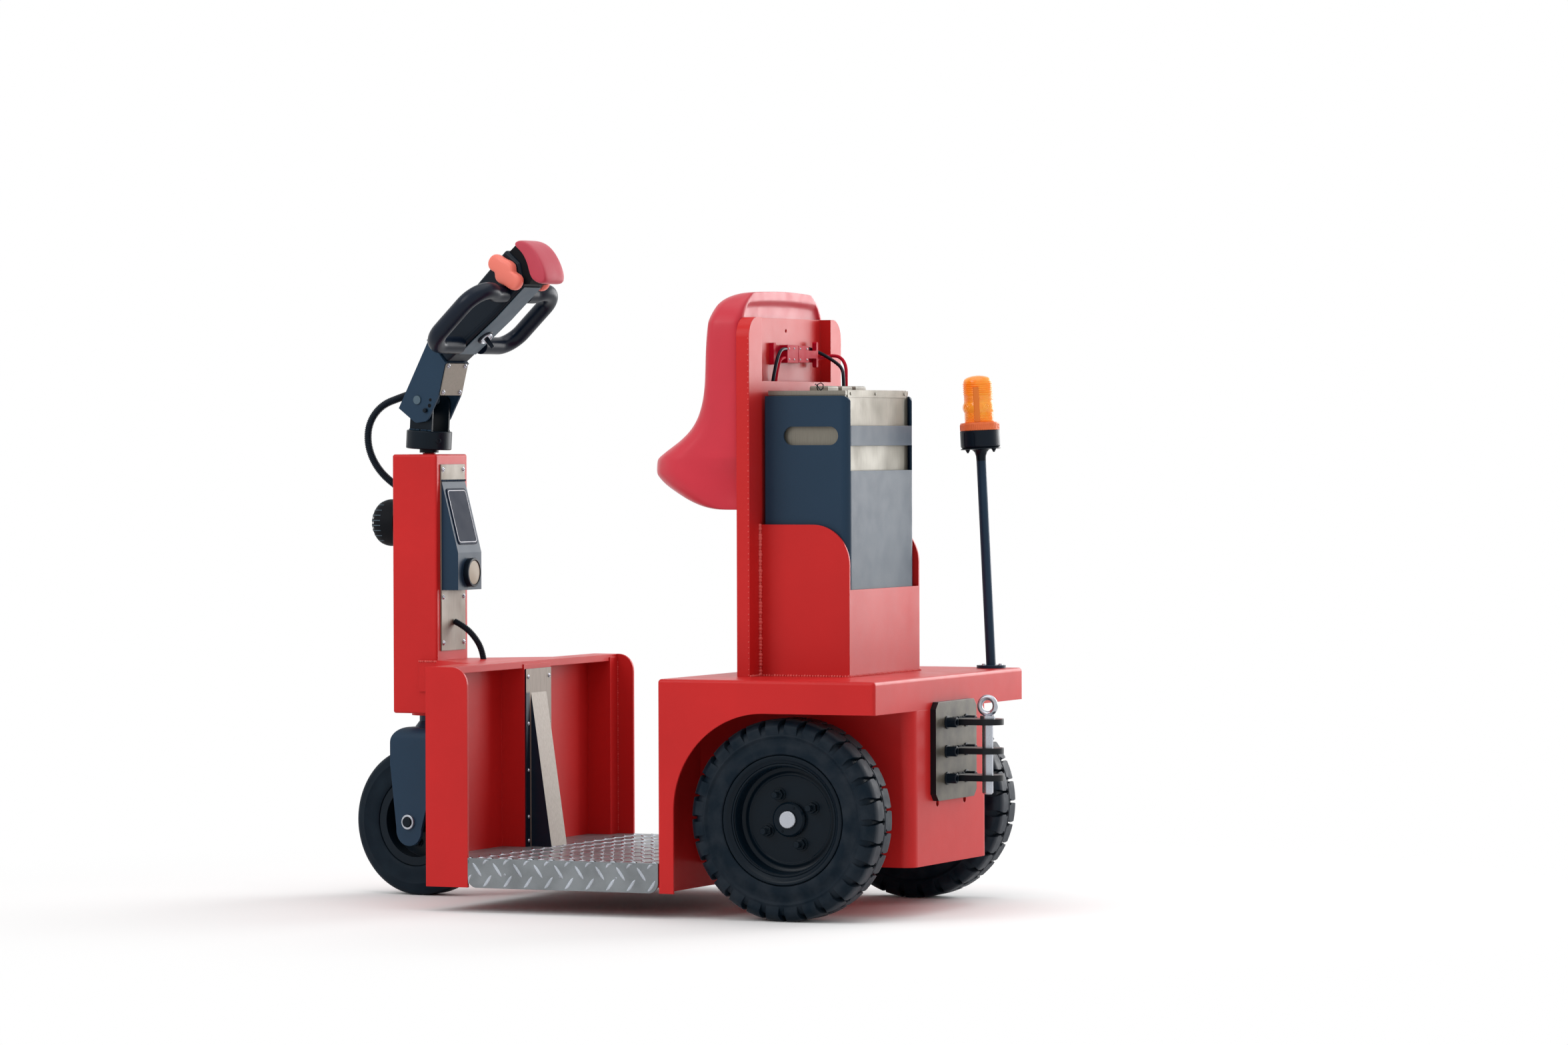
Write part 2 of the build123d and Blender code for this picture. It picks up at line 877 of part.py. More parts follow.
def beacon_lens():
    """Amber lens: foot ring, band of bulges, stepped rings and domed cap."""
    foot = pole_length + beacon_base_height
    low = foot + beacon_ring_height
    top = low + beacon_lens_height
    cap = top - beacon_cap_height
    steps = cap - beacon_step_count * beacon_step_pitch
    band = low + beacon_bulge_low
    radius = beacon_lens_radius
    points = [
        (0, foot),
        (beacon_base_radius - 1, foot),
        (beacon_base_radius - 1, low),
        (radius, low),
        (radius, band),
        (radius + beacon_bulge, band + beacon_bulge_height * 0.3),
        (radius + beacon_bulge, band + beacon_bulge_height * 0.7),
        (radius, band + beacon_bulge_height),
        (radius, steps),
    ]
    for k in range(beacon_step_count):
        z = steps + k * beacon_step_pitch
        points.append((radius - beacon_step_depth, z + beacon_step_pitch * 0.5))
        points.append((radius, z + beacon_step_pitch))
    points.append((beacon_cap_radius, cap))
    side = Polyline(*points)
    ball = (beacon_cap_radius**2 + beacon_cap_height**2) / (2 * beacon_cap_height)
    half_arc = asin(beacon_cap_radius / ball) / 2
    middle = (ball * sin(half_arc), top - ball + ball * cos(half_arc))
    dome = ThreePointArc((beacon_cap_radius, cap), middle, (0, top))
    axis_line = Line((0, top), (0, foot))
    view = make_face(side + dome + axis_line)
    return on_pole(revolve(Plane.XZ * view, Axis.Z, 360))


def pedestal():
    """Seat pedestal: flat box of folded plate with a cable recess open at the top."""
    outer = rect(-pedestal_half_width, pedestal_half_width, deck_top, pedestal_top)
    outer = round_corners(outer, pedestal_corner, lambda v: v.Y > pedestal_top - 1)
    shape = front_slab(outer, pedestal_rear, pedestal_front)
    inner = rect(
        -pedestal_half_width + sheet,
        pedestal_half_width - sheet,
        deck_top - 1,
        pedestal_top - sheet,
    )
    inner = round_corners(inner, pedestal_corner - sheet, lambda v: v.Y > pedestal_top - 9)
    shape -= front_slab(inner, pedestal_rear + sheet, pedestal_front - sheet)
    shape += block(
        pedestal_rear,
        pedestal_front,
        -notch_right - sheet,
        -notch_right,
        notch_bottom - sheet,
        pedestal_top,
    )
    shape += block(
        pedestal_rear, pedestal_front, notch_left, notch_left + sheet, notch_bottom, pedestal_top
    )
    notch = block(
        pedestal_rear - 1,
        pedestal_front - sheet,
        -notch_right,
        notch_left,
        notch_bottom,
        pedestal_top + 1,
    )
    shape -= notch
    hole = rod_x(-3, seat_bolt_height, seat_bolt_radius, pedestal_front - 9, pedestal_front + 1)
    shape -= hole
    return shape


def seat():
    """Moulded perch seat in front of the pedestal: tall back that runs out into a nose."""
    back = pedestal_front + seat_gap
    front = back + seat_back_depth
    path = Spline(
        (back, seat_top),
        (back + 0.67 * seat_back_depth, seat_top - 9),
        (front - 6, seat_top - 69),
        (front, seat_nose_z + 147),
        (front + 38, seat_nose_z + 62),
        (seat_nose_x - 16, seat_nose_z + 22),
        (seat_nose_x, seat_nose_z),
        (seat_nose_x - 20, seat_nose_z - 27),
        (front + 48, seat_bottom + 18),
        (front - 27, seat_bottom - 2),
        (back, seat_bottom + 4),
    )
    view = make_face(path + Line((back, seat_bottom + 4), (back, seat_top)))
    shape = side_slab(view, -seat_half_width, seat_half_width)
    front_view = rect(-seat_half_width, seat_half_width, seat_bottom - 9, seat_top + 9)
    front_view = round_corners(front_view, seat_corner, lambda v: v.Y > seat_top)
    shape &= front_slab(front_view, back - 1, seat_nose_x + 9)
    soft = [e for e in shape.edges() if e.center().X > back + 1]
    return fillet(soft, seat_edge)


def battery_tray():
    """Welded tray that holds the battery behind the pedestal."""
    view = rect(tray_rear, pedestal_rear, deck_top, tray_side_top)
    view = round_corners(
        view, tray_arc, lambda v: v.Y > tray_side_top - 1 and v.X < tray_rear + 1
    )
    shape = side_slab(view, tray_half_width - sheet, tray_half_width)
    shape += side_slab(view, -tray_half_width, -tray_half_width + sheet)
    shape += block(
        tray_rear, tray_rear + sheet, -tray_half_width, tray_half_width, deck_top, tray_rear_top
    )
    return shape


def battery_wrap():
    """Painted sheet wrapped round both sides and the back of the battery."""
    half = tray_half_width - sheet - cover_gap
    rear = tray_rear + sheet + 1
    front = pedestal_rear - 8
    plan = rect(rear, front, -half, half)
    plan = round_corners(plan, wrap_corner, lambda v: v.X < rear + 1)
    hollow = rect(rear + wrap_sheet, front + 1, -half + wrap_sheet, half - wrap_sheet)
    hollow = round_corners(hollow, wrap_corner - wrap_sheet, lambda v: v.X < rear + 6)
    shape = top_slab(plan - hollow, deck_top + seat_gap, wrap_top)
    side = rect(rear - 1, front + 1, deck_top, wrap_top)
    side = round_corners(side, wrap_corner, lambda v: v.Y > wrap_top - 1 and v.X < rear)
    shape &= side_slab(side, -half - 1, half + 1)
    window = half - 14
    low, high = window_low
    shape -= block(rear - 1, rear + wrap_sheet + 15, -window, window, low, high)
    shape -= block(rear - 1, rear + wrap_sheet + 15, -window, window, window_high, wrap_top + 1)
    slot = Pos(slot_centre_x, slot_centre_z) * SlotOverall(slot_length, slot_height)
    shape -= side_slab(slot, -half - 1, half + 1)
    return shape


def battery_case():
    """Battery in its steel case, one closed block."""
    half = tray_half_width - sheet - cover_gap - wrap_sheet - case_gap
    rear = tray_rear + sheet + 1 + wrap_sheet + case_gap
    front = pedestal_rear - case_cover_gap
    return block(rear, front, -half, half, deck_top + seat_gap, case_top)


def battery_lid():
    """Folded lid of the battery case."""
    half = tray_half_width - sheet - cover_gap - wrap_sheet - case_gap + 1
    rear = tray_rear + sheet + 1 + wrap_sheet + case_gap - 1
    front = pedestal_rear - case_cover_gap + 1
    base = case_top + seat_gap
    shape = block(rear, front, -half, half, base, base + lid_height)
    for y in (-70, 0, 70):
        grip = block(20, 60, y - 26, y + 26, base + lid_height, base + lid_height + 10)
        shape += fillet(grip.edges().group_by(Axis.Z)[-1], 4.0)
    return shape


def connector():
    """Two halves of the battery plug with its pull handle, on a foot in the recess."""
    wall = pedestal_front - sheet
    x = plug_x
    near = x - plug_thickness / 2
    far = x + plug_thickness / 2
    low = plug_height - plug_depth / 2
    high = plug_height + plug_depth / 2
    joint = (plug_left + plug_right) / 2
    shape = block(near, far, joint, plug_left, low, high)
    shape += block(near, far, plug_right, joint - 2, low + 1, high - 1)
    shape += block(near + 3, far - 3, joint - 3, joint + 1, low + 4, high - 4)
    bar_half = plug_handle_bar / 2
    bar_low = x - 2 - bar_half
    bar_high = x - 2 + bar_half
    shape += block(bar_low, bar_high, plug_handle_reach, plug_right + 1, low + 10, high - 10)
    handle = block(
        bar_low,
        bar_high,
        plug_handle_reach - bar_half,
        plug_handle_reach + bar_half,
        plug_height - plug_handle_half,
        plug_height + plug_handle_half,
    )
    shape += fillet(handle.edges().filter_by(Axis.X), bar_half - 0.5)
    shape += block(x + 2, wall, joint + 4, plug_left - 8, low + 6, high - 6)
    foot = block(x + 2, wall, plug_foot_y, plug_foot_y + plug_foot_width, low - 4, high + 4)
    foot += block(far - 3, wall, plug_left - 1, plug_foot_y + 1, low + 2, high - 2)
    return shape + foot


def tilted(shape):
    """Leans the collar and its clevis with the steering head."""
    centre = Pos(steer_x, 0, collar_centre_z)
    return centre * Rot(0, -collar_lean, 0) * centre.inverse() * shape


def collar():
    """Clamp collar on the steering spindle, with the clevis of the tiller."""
    low = collar_centre_z - collar_height / 2
    ring = rod_z(steer_x, 0, collar_radius, low, low + collar_height)
    ring = chamfer(ring.edges(), 1.5)
    half = clevis_depth / 2
    cheek = rect(steer_x - half, steer_x + half, low + collar_height - 1, pivot_z + 12)
    cheek = round_corners(cheek, 20.0, lambda v: v.Y > pivot_z)
    for side in (-1, 1):
        edge_a = side * clevis_half_width
        edge_b = side * (clevis_half_width - clevis_sheet)
        ring += side_slab(cheek, min(edge_a, edge_b), max(edge_a, edge_b))
    shape = tilted(ring) + conduit_clip()
    shoulder_low = column_top + boss_height + seat_gap
    shape += rod_z(steer_x, 0, shoulder_radius, shoulder_low, collar_centre_z - 10)
    shape -= rod_z(steer_x, 0, spindle_radius + 0.05, shoulder_low - 1, collar_centre_z - 20.9)
    bore = pivot_radius + pivot_gap
    shape -= rod_y(steer_x, pivot_z, bore, -arm_half_width, arm_half_width)
    return shape


def conduit_clip():
    """Plate between the clevis cheeks that holds the upper end of the tiller conduit."""
    face = steer_x + clevis_depth / 2
    back = face - clevis_sheet
    cheek_inner = clevis_half_width - clevis_sheet
    shape = block(back, face, -cheek_inner - 1, cheek_inner + 1, pivot_z - 30, pivot_z - 10)
    top = clip_height + clip_half_width
    tongue = rect(-clip_half_width, clip_half_width, pivot_z - 12, top)
    tongue = round_corners(tongue, clip_half_width - 1, lambda v: v.Y > top - 1)
    shape += front_slab(tongue, back, face)
    boss = Cylinder(clip_half_width - 1, 2 * clip_boss_length)
    boss = Pos(face, 0, clip_height) * Rot(0, 90 + clip_slope, 0) * boss
    return shape + (boss & block(back, face + 30, -50, 50, 0, 2000))


def pivot_pin():
    """Tilt pin of the tiller."""
    end = arm_half_width + 3
    return rod_y(steer_x, pivot_z, pivot_radius, -end, end)


def arm():
    """Tiller arm: two cheeks joined by a plate that the head seats on."""
    x_over, _, z_over = head_frame(head_start - seat_gap, 0, head_over)
    x_under, _, z_under = head_frame(head_start - seat_gap, 0, head_under)
    cheek = outline((x_over, z_over), (x_under, z_under), *reversed(arm_foot))
    foot_top = arm_foot[0][1]
    cheek = round_corners(cheek, arm_foot_round, lambda v: v.Y < foot_top - 9)
    shape = None
    for side in (-1, 1):
        edge_a = side * arm_half_width
        edge_b = side * (arm_half_width - arm_sheet)
        slab = side_slab(cheek, min(edge_a, edge_b), max(edge_a, edge_b))
        shape = slab if shape is None else shape + slab
    corners = []
    for s, n in (
        (head_start - seat_gap, head_over),
        (head_start - seat_gap, head_under),
        (head_start - 6, head_under),
        (head_start - 6, head_over),
    ):
        x, _, z = head_frame(s, 0, n)
        corners.append((x, z))
    shape += side_slab(outline(*corners), -arm_half_width + 1, arm_half_width - 1)
    bore = pivot_radius + 0.05
    return shape - rod_y(steer_x, pivot_z, bore, -arm_half_width - 1, arm_half_width + 1)


def arm_cover():
    """Stainless plate over the rear edges of the arm's cheeks."""
    x_foot, z_foot = arm_foot[-1]
    x_head, _, z_head = head_frame(head_start - seat_gap, 0, head_under)
    length = hypot(x_head - x_foot, z_head - z_foot)
    lean = degrees(asin((x_foot - x_head) / length))
    half = arm_half_width - arm_cover_margin
    plate_solid = Box(arm_cover_sheet, 2 * half, length - 2 * arm_cover_margin)
    plate_solid = fillet(plate_solid.edges().filter_by(Axis.X), 3.0)
    middle = Pos((x_foot + x_head) / 2, 0, (z_foot + z_head) / 2)
    out = -(arm_cover_sheet / 2 + seat_gap)
    return middle * Rot(0, -lean, 0) * Pos(out, 0, 0) * plate_solid


def head_frame(s, y, n):
    """Point on the tiller head: s along it, y across, n out of its upper face."""
    rise = radians(head_rise)
    x = head_x - s * cos(rise) + n * sin(rise)
    z = head_z + s * sin(rise) + n * cos(rise)
    return (x, y, z)


def head_slab(points, half):
    """Solid with a side view given along the head and out of it."""
    corners = []
    for s, n in points:
        x, _, z = head_frame(s, 0, n)
        corners.append((x, z))
    return side_slab(outline(*corners), -half, half)


def head():
    """Moulded housing of the tiller head, deeper towards the rider, its edges rounded."""
    points = ((head_start, head_under), (head_start, head_over)) + head_outline
    shape = head_slab(points, head_half_width)
    return fillet(shape.edges(), head_round)


def belly_button():
    """Red safety pad round the end of the head, on a plunger that runs into it."""
    over, end, under = head_outline[1:4]
    points = (
        (over[0] + button_gap + 4, over[1]),
        (end[0] + button_gap, end[1]),
        (under[0] + button_gap + 3, under[1] - 3),
        (button_reach - 32, -68),
        (button_reach - 18, -56),
        (button_reach, -18),
        (button_reach - 2, 20),
        (button_reach - 18, 38),
    )
    pad = head_slab(points, button_half_width)
    pad = fillet(pad.edges().filter_by(Axis.Y), 6.0)
    rims = pad.edges().group_by(Axis.Y)
    pad = fillet(rims[0] + rims[-1], button_round)
    plunger = head_slab(((end[0] - 4, 4), (end[0] - 4, -10), (250, -14), (250, 4)), 20)
    return pad + (plunger - head())


def grip(side):
    """Closed loop grip on one side of the head."""
    reach = side * (grip_reach - grip_radius)
    root = side * head_half_width
    root_end = side * (head_half_width + grip_root_length)
    route = FilletPolyline(
        head_frame(grip_low, root, grip_drop),
        head_frame(grip_low, reach, grip_drop),
        head_frame(grip_high, reach, grip_drop),
        head_frame(grip_high - grip_root_back, root_end, grip_drop),
        head_frame(grip_high - grip_root_back, root, grip_drop),
        radius=grip_bend,
    )
    start = Plane(origin=route @ 0, z_dir=route % 0)
    return sweep(start * Circle(grip_radius), path=route)


def throttle(side):
    """Rotary throttle beside the head: a round hub with two wings for the thumb."""
    x, _, z = head_frame(throttle_along, 0, throttle_over)
    inner = head_half_width + pivot_gap
    hub = rod_y(x, z, throttle_hub_radius, inner, inner + throttle_hub_depth)
    hub = fillet(hub.edges().group_by(Axis.Y)[-1], 5.0)
    wing_low = inner + throttle_hub_depth / 2 - throttle_wing_depth / 2
    for way in (-1, 1):
        tip_x, _, tip_z = head_frame(
            throttle_along + throttle_wing_sweep, 0, throttle_over + way * throttle_wing_reach
        )
        root = Pos(x, z) * Circle(throttle_hub_radius - 3)
        tip = Pos(tip_x, tip_z) * Circle(throttle_wing_radius)
        wing = make_hull(root.edges() + tip.edges())
        hub += side_slab(wing, wing_low, wing_low + throttle_wing_depth)
    return hub if side > 0 else mirror(hub, Plane.XZ)


def cord(points, radius):
    """Round cord along straight runs joined by the largest even arcs; prints its radii."""
    corners = [Vector(*p) for p in points]
    runs = [(b - a).length for a, b in zip(corners, corners[1:])]
    arcs = []
    for k in range(1, len(corners) - 1):
        turn = (corners[k] - corners[k - 1]).get_angle(corners[k + 1] - corners[k])
        arcs.append(0.45 * min(runs[k - 1], runs[k]) / tan(radians(turn / 2)))
    print("cord radius", radius, "arcs", [round(arc) for arc in arcs])
    route = FilletPolyline(*corners, radius=arcs)
    start = Plane(origin=route @ 0, z_dir=route % 0)
    shape = sweep(start * Circle(radius), path=route)
    even = pi * radius**2 * route.length
    print(f"  length {route.length:.1f}, volume over section times length {shape.volume / even:.4f}")
    return shape


def tiller_conduit():
    """Ribbed conduit from the front of the column up to the tiller's pivot."""
    return cord(tiller_conduit_route, conduit_radius)


def column_conduit():
    """Conduit from the column's cover down to the top of the apron."""
    return cord(column_conduit_route, column_conduit_radius)


def battery_lead(name):
    """One lead of the battery plug, into the pedestal on the left, to the battery on the right."""
    return cord(lead_routes[name], lead_radius)


def fixed_pieces():
    """Pieces of the chassis."""
    return {
        "rear_body": rear_body(),
        "rear_box": rear_box(),
        "drive_axle": drive_axle(),
        "platform_deck": platform_deck(),
        "platform_frame": platform_frame(),
        "apron": apron(),
        "wedge_cover": wedge_cover(),
        "column": column(),
        "column_cover": column_cover(),
        "display_housing": display_housing(),
        "display_screen": display_screen(),
        "gauge": gauge(),
        "horn": horn(),
        "tiller_conduit": tiller_conduit(),
        "column_conduit": column_conduit(),
        "lead_black_left": battery_lead("black_left"),
        "lead_red_left": battery_lead("red_left"),
        "lead_black_right": battery_lead("black_right"),
        "lead_red_right": battery_lead("red_right"),
        "pedestal": pedestal(),
        "seat": seat(),
        "battery_tray": battery_tray(),
        "battery_wrap": battery_wrap(),
        "battery_case": battery_case(),
        "battery_lid": battery_lid(),
        "power_connector": connector(),
        "hitch": hitch(),
        "hitch_pin": hitch_pin(),
        "beacon_pole": beacon_pole(),
        "beacon_base": beacon_base(),
        "beacon_lens": beacon_lens(),
    }


def steering_pieces():
    """Pieces that turn with the steering, drawn straight ahead."""
    pieces = {
        "fork": fork(),
        "front_axle": front_axle(),
        "front_tyre": front_tyre(),
        "front_rim": front_rim(),
        "steering_collar": collar(),
        "tilt_pin": pivot_pin(),
        "tiller_arm": arm(),
        "arm_cover": arm_cover(),
        "tiller_head": head(),
        "belly_button": belly_button(),
    }
    for name, side in (("left", 1), ("right", -1)):
        pieces[f"grip_{name}"] = grip(side)
        pieces[f"throttle_{name}"] = throttle(side)
    return pieces


def rear_wheel_pieces():
    """Tyre, rim and shaft of each rear wheel."""
    tyre = rear_tyre()
    rim = rear_rim()
    pieces = {}
    for name, side in (("left", 1), ("right", -1)):
        pieces[f"rear_tyre_{name}"] = place_rear(tyre, side)
        pieces[f"rear_rim_{name}"] = place_rear(rim, side)
        pieces[f"half_shaft_{name}"] = half_shaft(side)
    return pieces


def main():
    os.makedirs("parts", exist_ok=True)
    pieces = fixed_pieces() | rear_wheel_pieces()
    for node, shape in steering_pieces().items():
        pieces[node] = steered(shape)
    front_reach = pieces["front_tyre"].bounding_box().max.X
    mid_x = (front_reach + hitch_tip) / 2
    print(f"middle of the length {mid_x:.3f} ahead of the rear axle")
    for node, shape in pieces.items():
        save(node, shape, mid_x)


main()
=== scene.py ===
import bpy
import json
import math
from mathutils import Matrix, Vector


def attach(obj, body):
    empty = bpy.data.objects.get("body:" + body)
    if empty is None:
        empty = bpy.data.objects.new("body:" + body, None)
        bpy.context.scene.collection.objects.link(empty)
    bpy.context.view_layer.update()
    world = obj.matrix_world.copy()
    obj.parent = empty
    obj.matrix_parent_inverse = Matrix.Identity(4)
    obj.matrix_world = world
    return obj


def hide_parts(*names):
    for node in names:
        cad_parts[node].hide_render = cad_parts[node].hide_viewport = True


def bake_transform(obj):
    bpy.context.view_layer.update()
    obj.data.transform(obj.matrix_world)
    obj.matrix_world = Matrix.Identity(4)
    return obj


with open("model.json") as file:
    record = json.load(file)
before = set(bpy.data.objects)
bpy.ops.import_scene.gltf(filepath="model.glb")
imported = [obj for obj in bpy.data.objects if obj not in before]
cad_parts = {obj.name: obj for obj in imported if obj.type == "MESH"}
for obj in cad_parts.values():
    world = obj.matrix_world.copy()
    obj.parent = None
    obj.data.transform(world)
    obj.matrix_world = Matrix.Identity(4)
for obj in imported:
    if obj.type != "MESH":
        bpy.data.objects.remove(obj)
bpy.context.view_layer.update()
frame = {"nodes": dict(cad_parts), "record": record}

# Looks of a small stand-on baggage tug. Shapes are drawn in millimetres as in the part's own
# drawing: x forwards from the rear axle, y to the left, z up from the floor. They are placed in
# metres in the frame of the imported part, whose origin is under the middle of the tug.

# Camera, as fitted to the photograph
CAMERA_PLACE = (-5.113743, 10.90676, 0.95786)
CAMERA_YAW = 24.031
CAMERA_PITCH = 0.857
CAMERA_ROLL = -0.171
FOCAL_PIXELS = 8825.06
PHOTO_WIDTH = 2352
SENSOR = 36.0

# Places and sizes taken from the part's drawing
AHEAD = 410.825
STEER_X = 970.0
STEER_TURN = -9.0
COLLAR_Z = 949.0
COLLAR_LEAN = -3.6
HALF_WIDTH = 390.0
DECK_TOP = 475.0
REAR_WHEEL_Y = 326.0
REAR_RADIUS = 200.0
SHAFT_RADIUS = 17.6
LUG_COUNT = 28
FRONT_AXLE_X = 982.0
FRONT_RADIUS = 154.0
FORK_OUTER = 60.0
COLUMN_REAR = 917.0
COLUMN_FRONT = 1020.0
PLATFORM_TOP = 109.5
PLATFORM_REAR = 262.0
PLATFORM_FRONT = 684.0
HEAD_X = 880.0
HEAD_Z = 1150.0
HEAD_RISE = 42.0
HEAD_HALF_WIDTH = 38.0
BEACON_X = -155.0
BEACON_Y = -340.0
BEACON_LEAN = 2.8
SEAT_BACK = 161.3
SEAT_HALF_WIDTH = 212.0
SEAT_TOP = 1249.0
SEAT_CORNER = 78.0
HITCH_FACE = -218.5
DUCT_FACE = 717.0
PLUG_FACE = 135.5
HOUSING_DEPTH = 38.0
HOUSING_FALL = 149.0
ARM_HALF_WIDTH = 40.0
BASE_LOW = 454.0
LENS_RADIUS = 30.6
KNOB_ALONG = 202.0
KNOB_OUT = 11.0
HORN_RIM = COLUMN_FRONT + 38
HORN_REACH = 40.0
HORN_RADIUS = 49.0
HORN_Z = 776.0
BACKWARD = (-1, 0, 0)
UPWARD = (0, 0, 1)

# Strength of the white surroundings as they light the tug and as they are seen, and the floor:
# half its side, and where it starts and ends to fade, in metres
LIT_STRENGTH = 0.5
SHOWN_STRENGTH = 1.0
FLOOR_REACH = 30.0
FADE_STARTS = 0.75
FADE_ENDS = 2.0

# Points of the cords, as in the part's drawing
TILLER_CONDUIT = (
    (1028, 0, 842), (1062, 0, 861), (1096, 2, 896), (1114, 3, 940),
    (1112, -1, 986), (1086, -8, 1022), (1041.8, -11.36, 1038), (1007.5, -5.93, 1047.3),
)
COLUMN_CONDUIT = ((913, -2, 571), (890, -5, 560), (868, -12, 535), (858, -20, 510), (856, -22, 491))
BATTERY_LEADS = {
    "lead_black_left": (
        (139, 35, 1131), (139, 54, 1131), (139, 71, 1121), (140, 82, 1101),
        (143, 87, 1077), (147, 88, 1050), (147.5, 88.5, 1028),
    ),
    "lead_red_left": (
        (141, 35, 1113), (141, 50, 1113), (141.5, 63, 1105),
        (143, 70, 1087), (146, 72, 1065), (147, 72, 1040),
    ),
    "lead_black_right": (
        (151, -71, 1134), (151, -97, 1134), (151.5, -130, 1131), (137, -147, 1122),
        (113, -148, 1108), (90, -134, 1095), (75, -110, 1079), (75, -110, 1045.6),
    ),
    "lead_red_right": (
        (151, -71, 1108), (151, -97, 1108), (151.5, -128, 1109), (145, -151, 1114),
        (128, -166, 1120), (107, -169, 1117), (92, -162, 1099), (88, -153, 1075),
        (88, -153, 1045.6),
    ),
}


def about(point, degrees, axis):
    """Turn about an axis through a point."""
    there = Matrix.Translation(point)
    return there @ Matrix.Rotation(math.radians(degrees), 4, axis) @ there.inverted()


DRAWING = Matrix.Scale(0.001, 4) @ Matrix.Translation((-AHEAD, 0, 0))
STEERED = DRAWING @ about((STEER_X, 0, 0), STEER_TURN, "Z")
COLLAR = STEERED @ about((STEER_X, 0, COLLAR_Z), COLLAR_LEAN, "Y")
BEACON = DRAWING @ Matrix.Translation((BEACON_X, BEACON_Y, DECK_TOP)) @ Matrix.Rotation(
    math.radians(BEACON_LEAN), 4, "Y"
)


# Camera, lamps and floor

def linear(r, g, b):
    """Colour seen on a screen, 0 to 255, as the linear colour of a shader."""
    out = []
    for v in (r, g, b):
        c = v / 255
        out.append(c / 12.92 if c <= 0.04045 else ((c + 0.055) / 1.055) ** 2.4)
    return (*out, 1.0)


def add_camera():
    """Camera at the photograph's place and angle."""
    yaw, pitch, roll = (math.radians(a) for a in (CAMERA_YAW, CAMERA_PITCH, CAMERA_ROLL))
    level = math.cos(pitch)
    forward = Vector((math.sin(yaw) * level, -math.cos(yaw) * level, -math.sin(pitch)))
    right = forward.cross(Vector((0, 0, 1))).normalized()
    up = right.cross(forward)
    turned_right = math.cos(roll) * right + math.sin(roll) * up
    turned_up = math.cos(roll) * up - math.sin(roll) * right
    data = bpy.data.cameras.new("camera")
    data.sensor_width = SENSOR
    data.lens = FOCAL_PIXELS * SENSOR / PHOTO_WIDTH
    data.clip_end = 200
    camera = bpy.data.objects.new("camera", data)
    bpy.context.scene.collection.objects.link(camera)
    turn = Matrix((turned_right, turned_up, -forward)).transposed()
    camera.matrix_world = Matrix.Translation(CAMERA_PLACE) @ turn.to_4x4()
    bpy.context.scene.camera = camera


def area_light(name, place, target, width, height, power):
    """Soft rectangular lamp that looks at a point."""
    data = bpy.data.lights.new(name, "AREA")
    data.shape = "RECTANGLE"
    data.size = width
    data.size_y = height
    data.energy = power
    lamp = bpy.data.objects.new(name, data)
    bpy.context.scene.collection.objects.link(lamp)
    lamp.location = place
    lamp.rotation_euler = (Vector(target) - Vector(place)).to_track_quat("-Z", "Y").to_euler()


def combined(nodes, links, operation, first, second):
    """Socket with two sockets joined by an operation."""
    node = nodes.new("ShaderNodeMath")
    node.operation = operation
    links.new(first, node.inputs[0])
    links.new(second, node.inputs[1])
    return node.outputs[0]


def seen_directly(nodes, links):
    """Socket that is 1 for what the camera sees straight, mirrored or through glass."""
    path = nodes.new("ShaderNodeLightPath")
    total = path.outputs["Is Camera Ray"]
    for name in ("Is Glossy Ray", "Is Transmission Ray"):
        total = combined(nodes, links, "MAXIMUM", total, path.outputs[name])
    return total


def add_world():
    """Even white surroundings: a plain level of light, and white where they show."""
    world = bpy.data.worlds.new("surroundings")
    bpy.context.scene.world = world
    world.use_nodes = True
    nodes, links = world.node_tree.nodes, world.node_tree.links
    nodes.clear()
    mix = nodes.new("ShaderNodeMixShader")
    links.new(seen_directly(nodes, links), mix.inputs[0])
    for socket, strength in ((1, LIT_STRENGTH), (2, SHOWN_STRENGTH)):
        white = nodes.new("ShaderNodeBackground")
        white.inputs["Color"].default_value = (1, 1, 1, 1)
        white.inputs["Strength"].default_value = strength
        links.new(white.outputs[0], mix.inputs[socket])
    out = nodes.new("ShaderNodeOutputWorld")
    links.new(mix.outputs[0], out.inputs[0])


def add_floor():
    """Pale floor that keeps the tug's shadow and fades into the white surroundings."""
    corners = [(x * FLOOR_REACH, y * FLOOR_REACH, 0) for x, y in ((-1, -1), (1, -1), (1, 1), (-1, 1))]
    mesh = bpy.data.meshes.new("floor")
    mesh.from_pydata(corners, [], [(0, 1, 2, 3)])
    floor = bpy.data.objects.new("floor", mesh)
    bpy.context.scene.collection.objects.link(floor)
    material = bpy.data.materials.new("floor")
    material.use_nodes = True
    nodes, links = material.node_tree.nodes, material.node_tree.links
    shader = nodes["Principled BSDF"]
    shader.inputs["Base Color"].default_value = (0.97, 0.97, 0.97, 1)
    shader.inputs["Roughness"].default_value = 0.9
    white = nodes.new("ShaderNodeEmission")
    place = nodes.new("ShaderNodeTexCoord")
    length = nodes.new("ShaderNodeVectorMath")
    length.operation = "LENGTH"
    links.new(place.outputs["Object"], length.inputs[0])
    fade = nodes.new("ShaderNodeMapRange")
    fade.interpolation_type = "SMOOTHSTEP"
    fade.inputs["From Min"].default_value = FADE_STARTS
    fade.inputs["From Max"].default_value = FADE_ENDS
    links.new(length.outputs["Value"], fade.inputs["Value"])
    mix = nodes.new("ShaderNodeMixShader")
    share = combined(nodes, links, "MULTIPLY", fade.outputs["Result"], seen_directly(nodes, links))
    links.new(share, mix.inputs[0])
    links.new(shader.outputs[0], mix.inputs[1])
    links.new(white.outputs[0], mix.inputs[2])
    links.new(mix.outputs[0], nodes["Material Output"].inputs["Surface"])
    mesh.materials.append(material)


# Materials

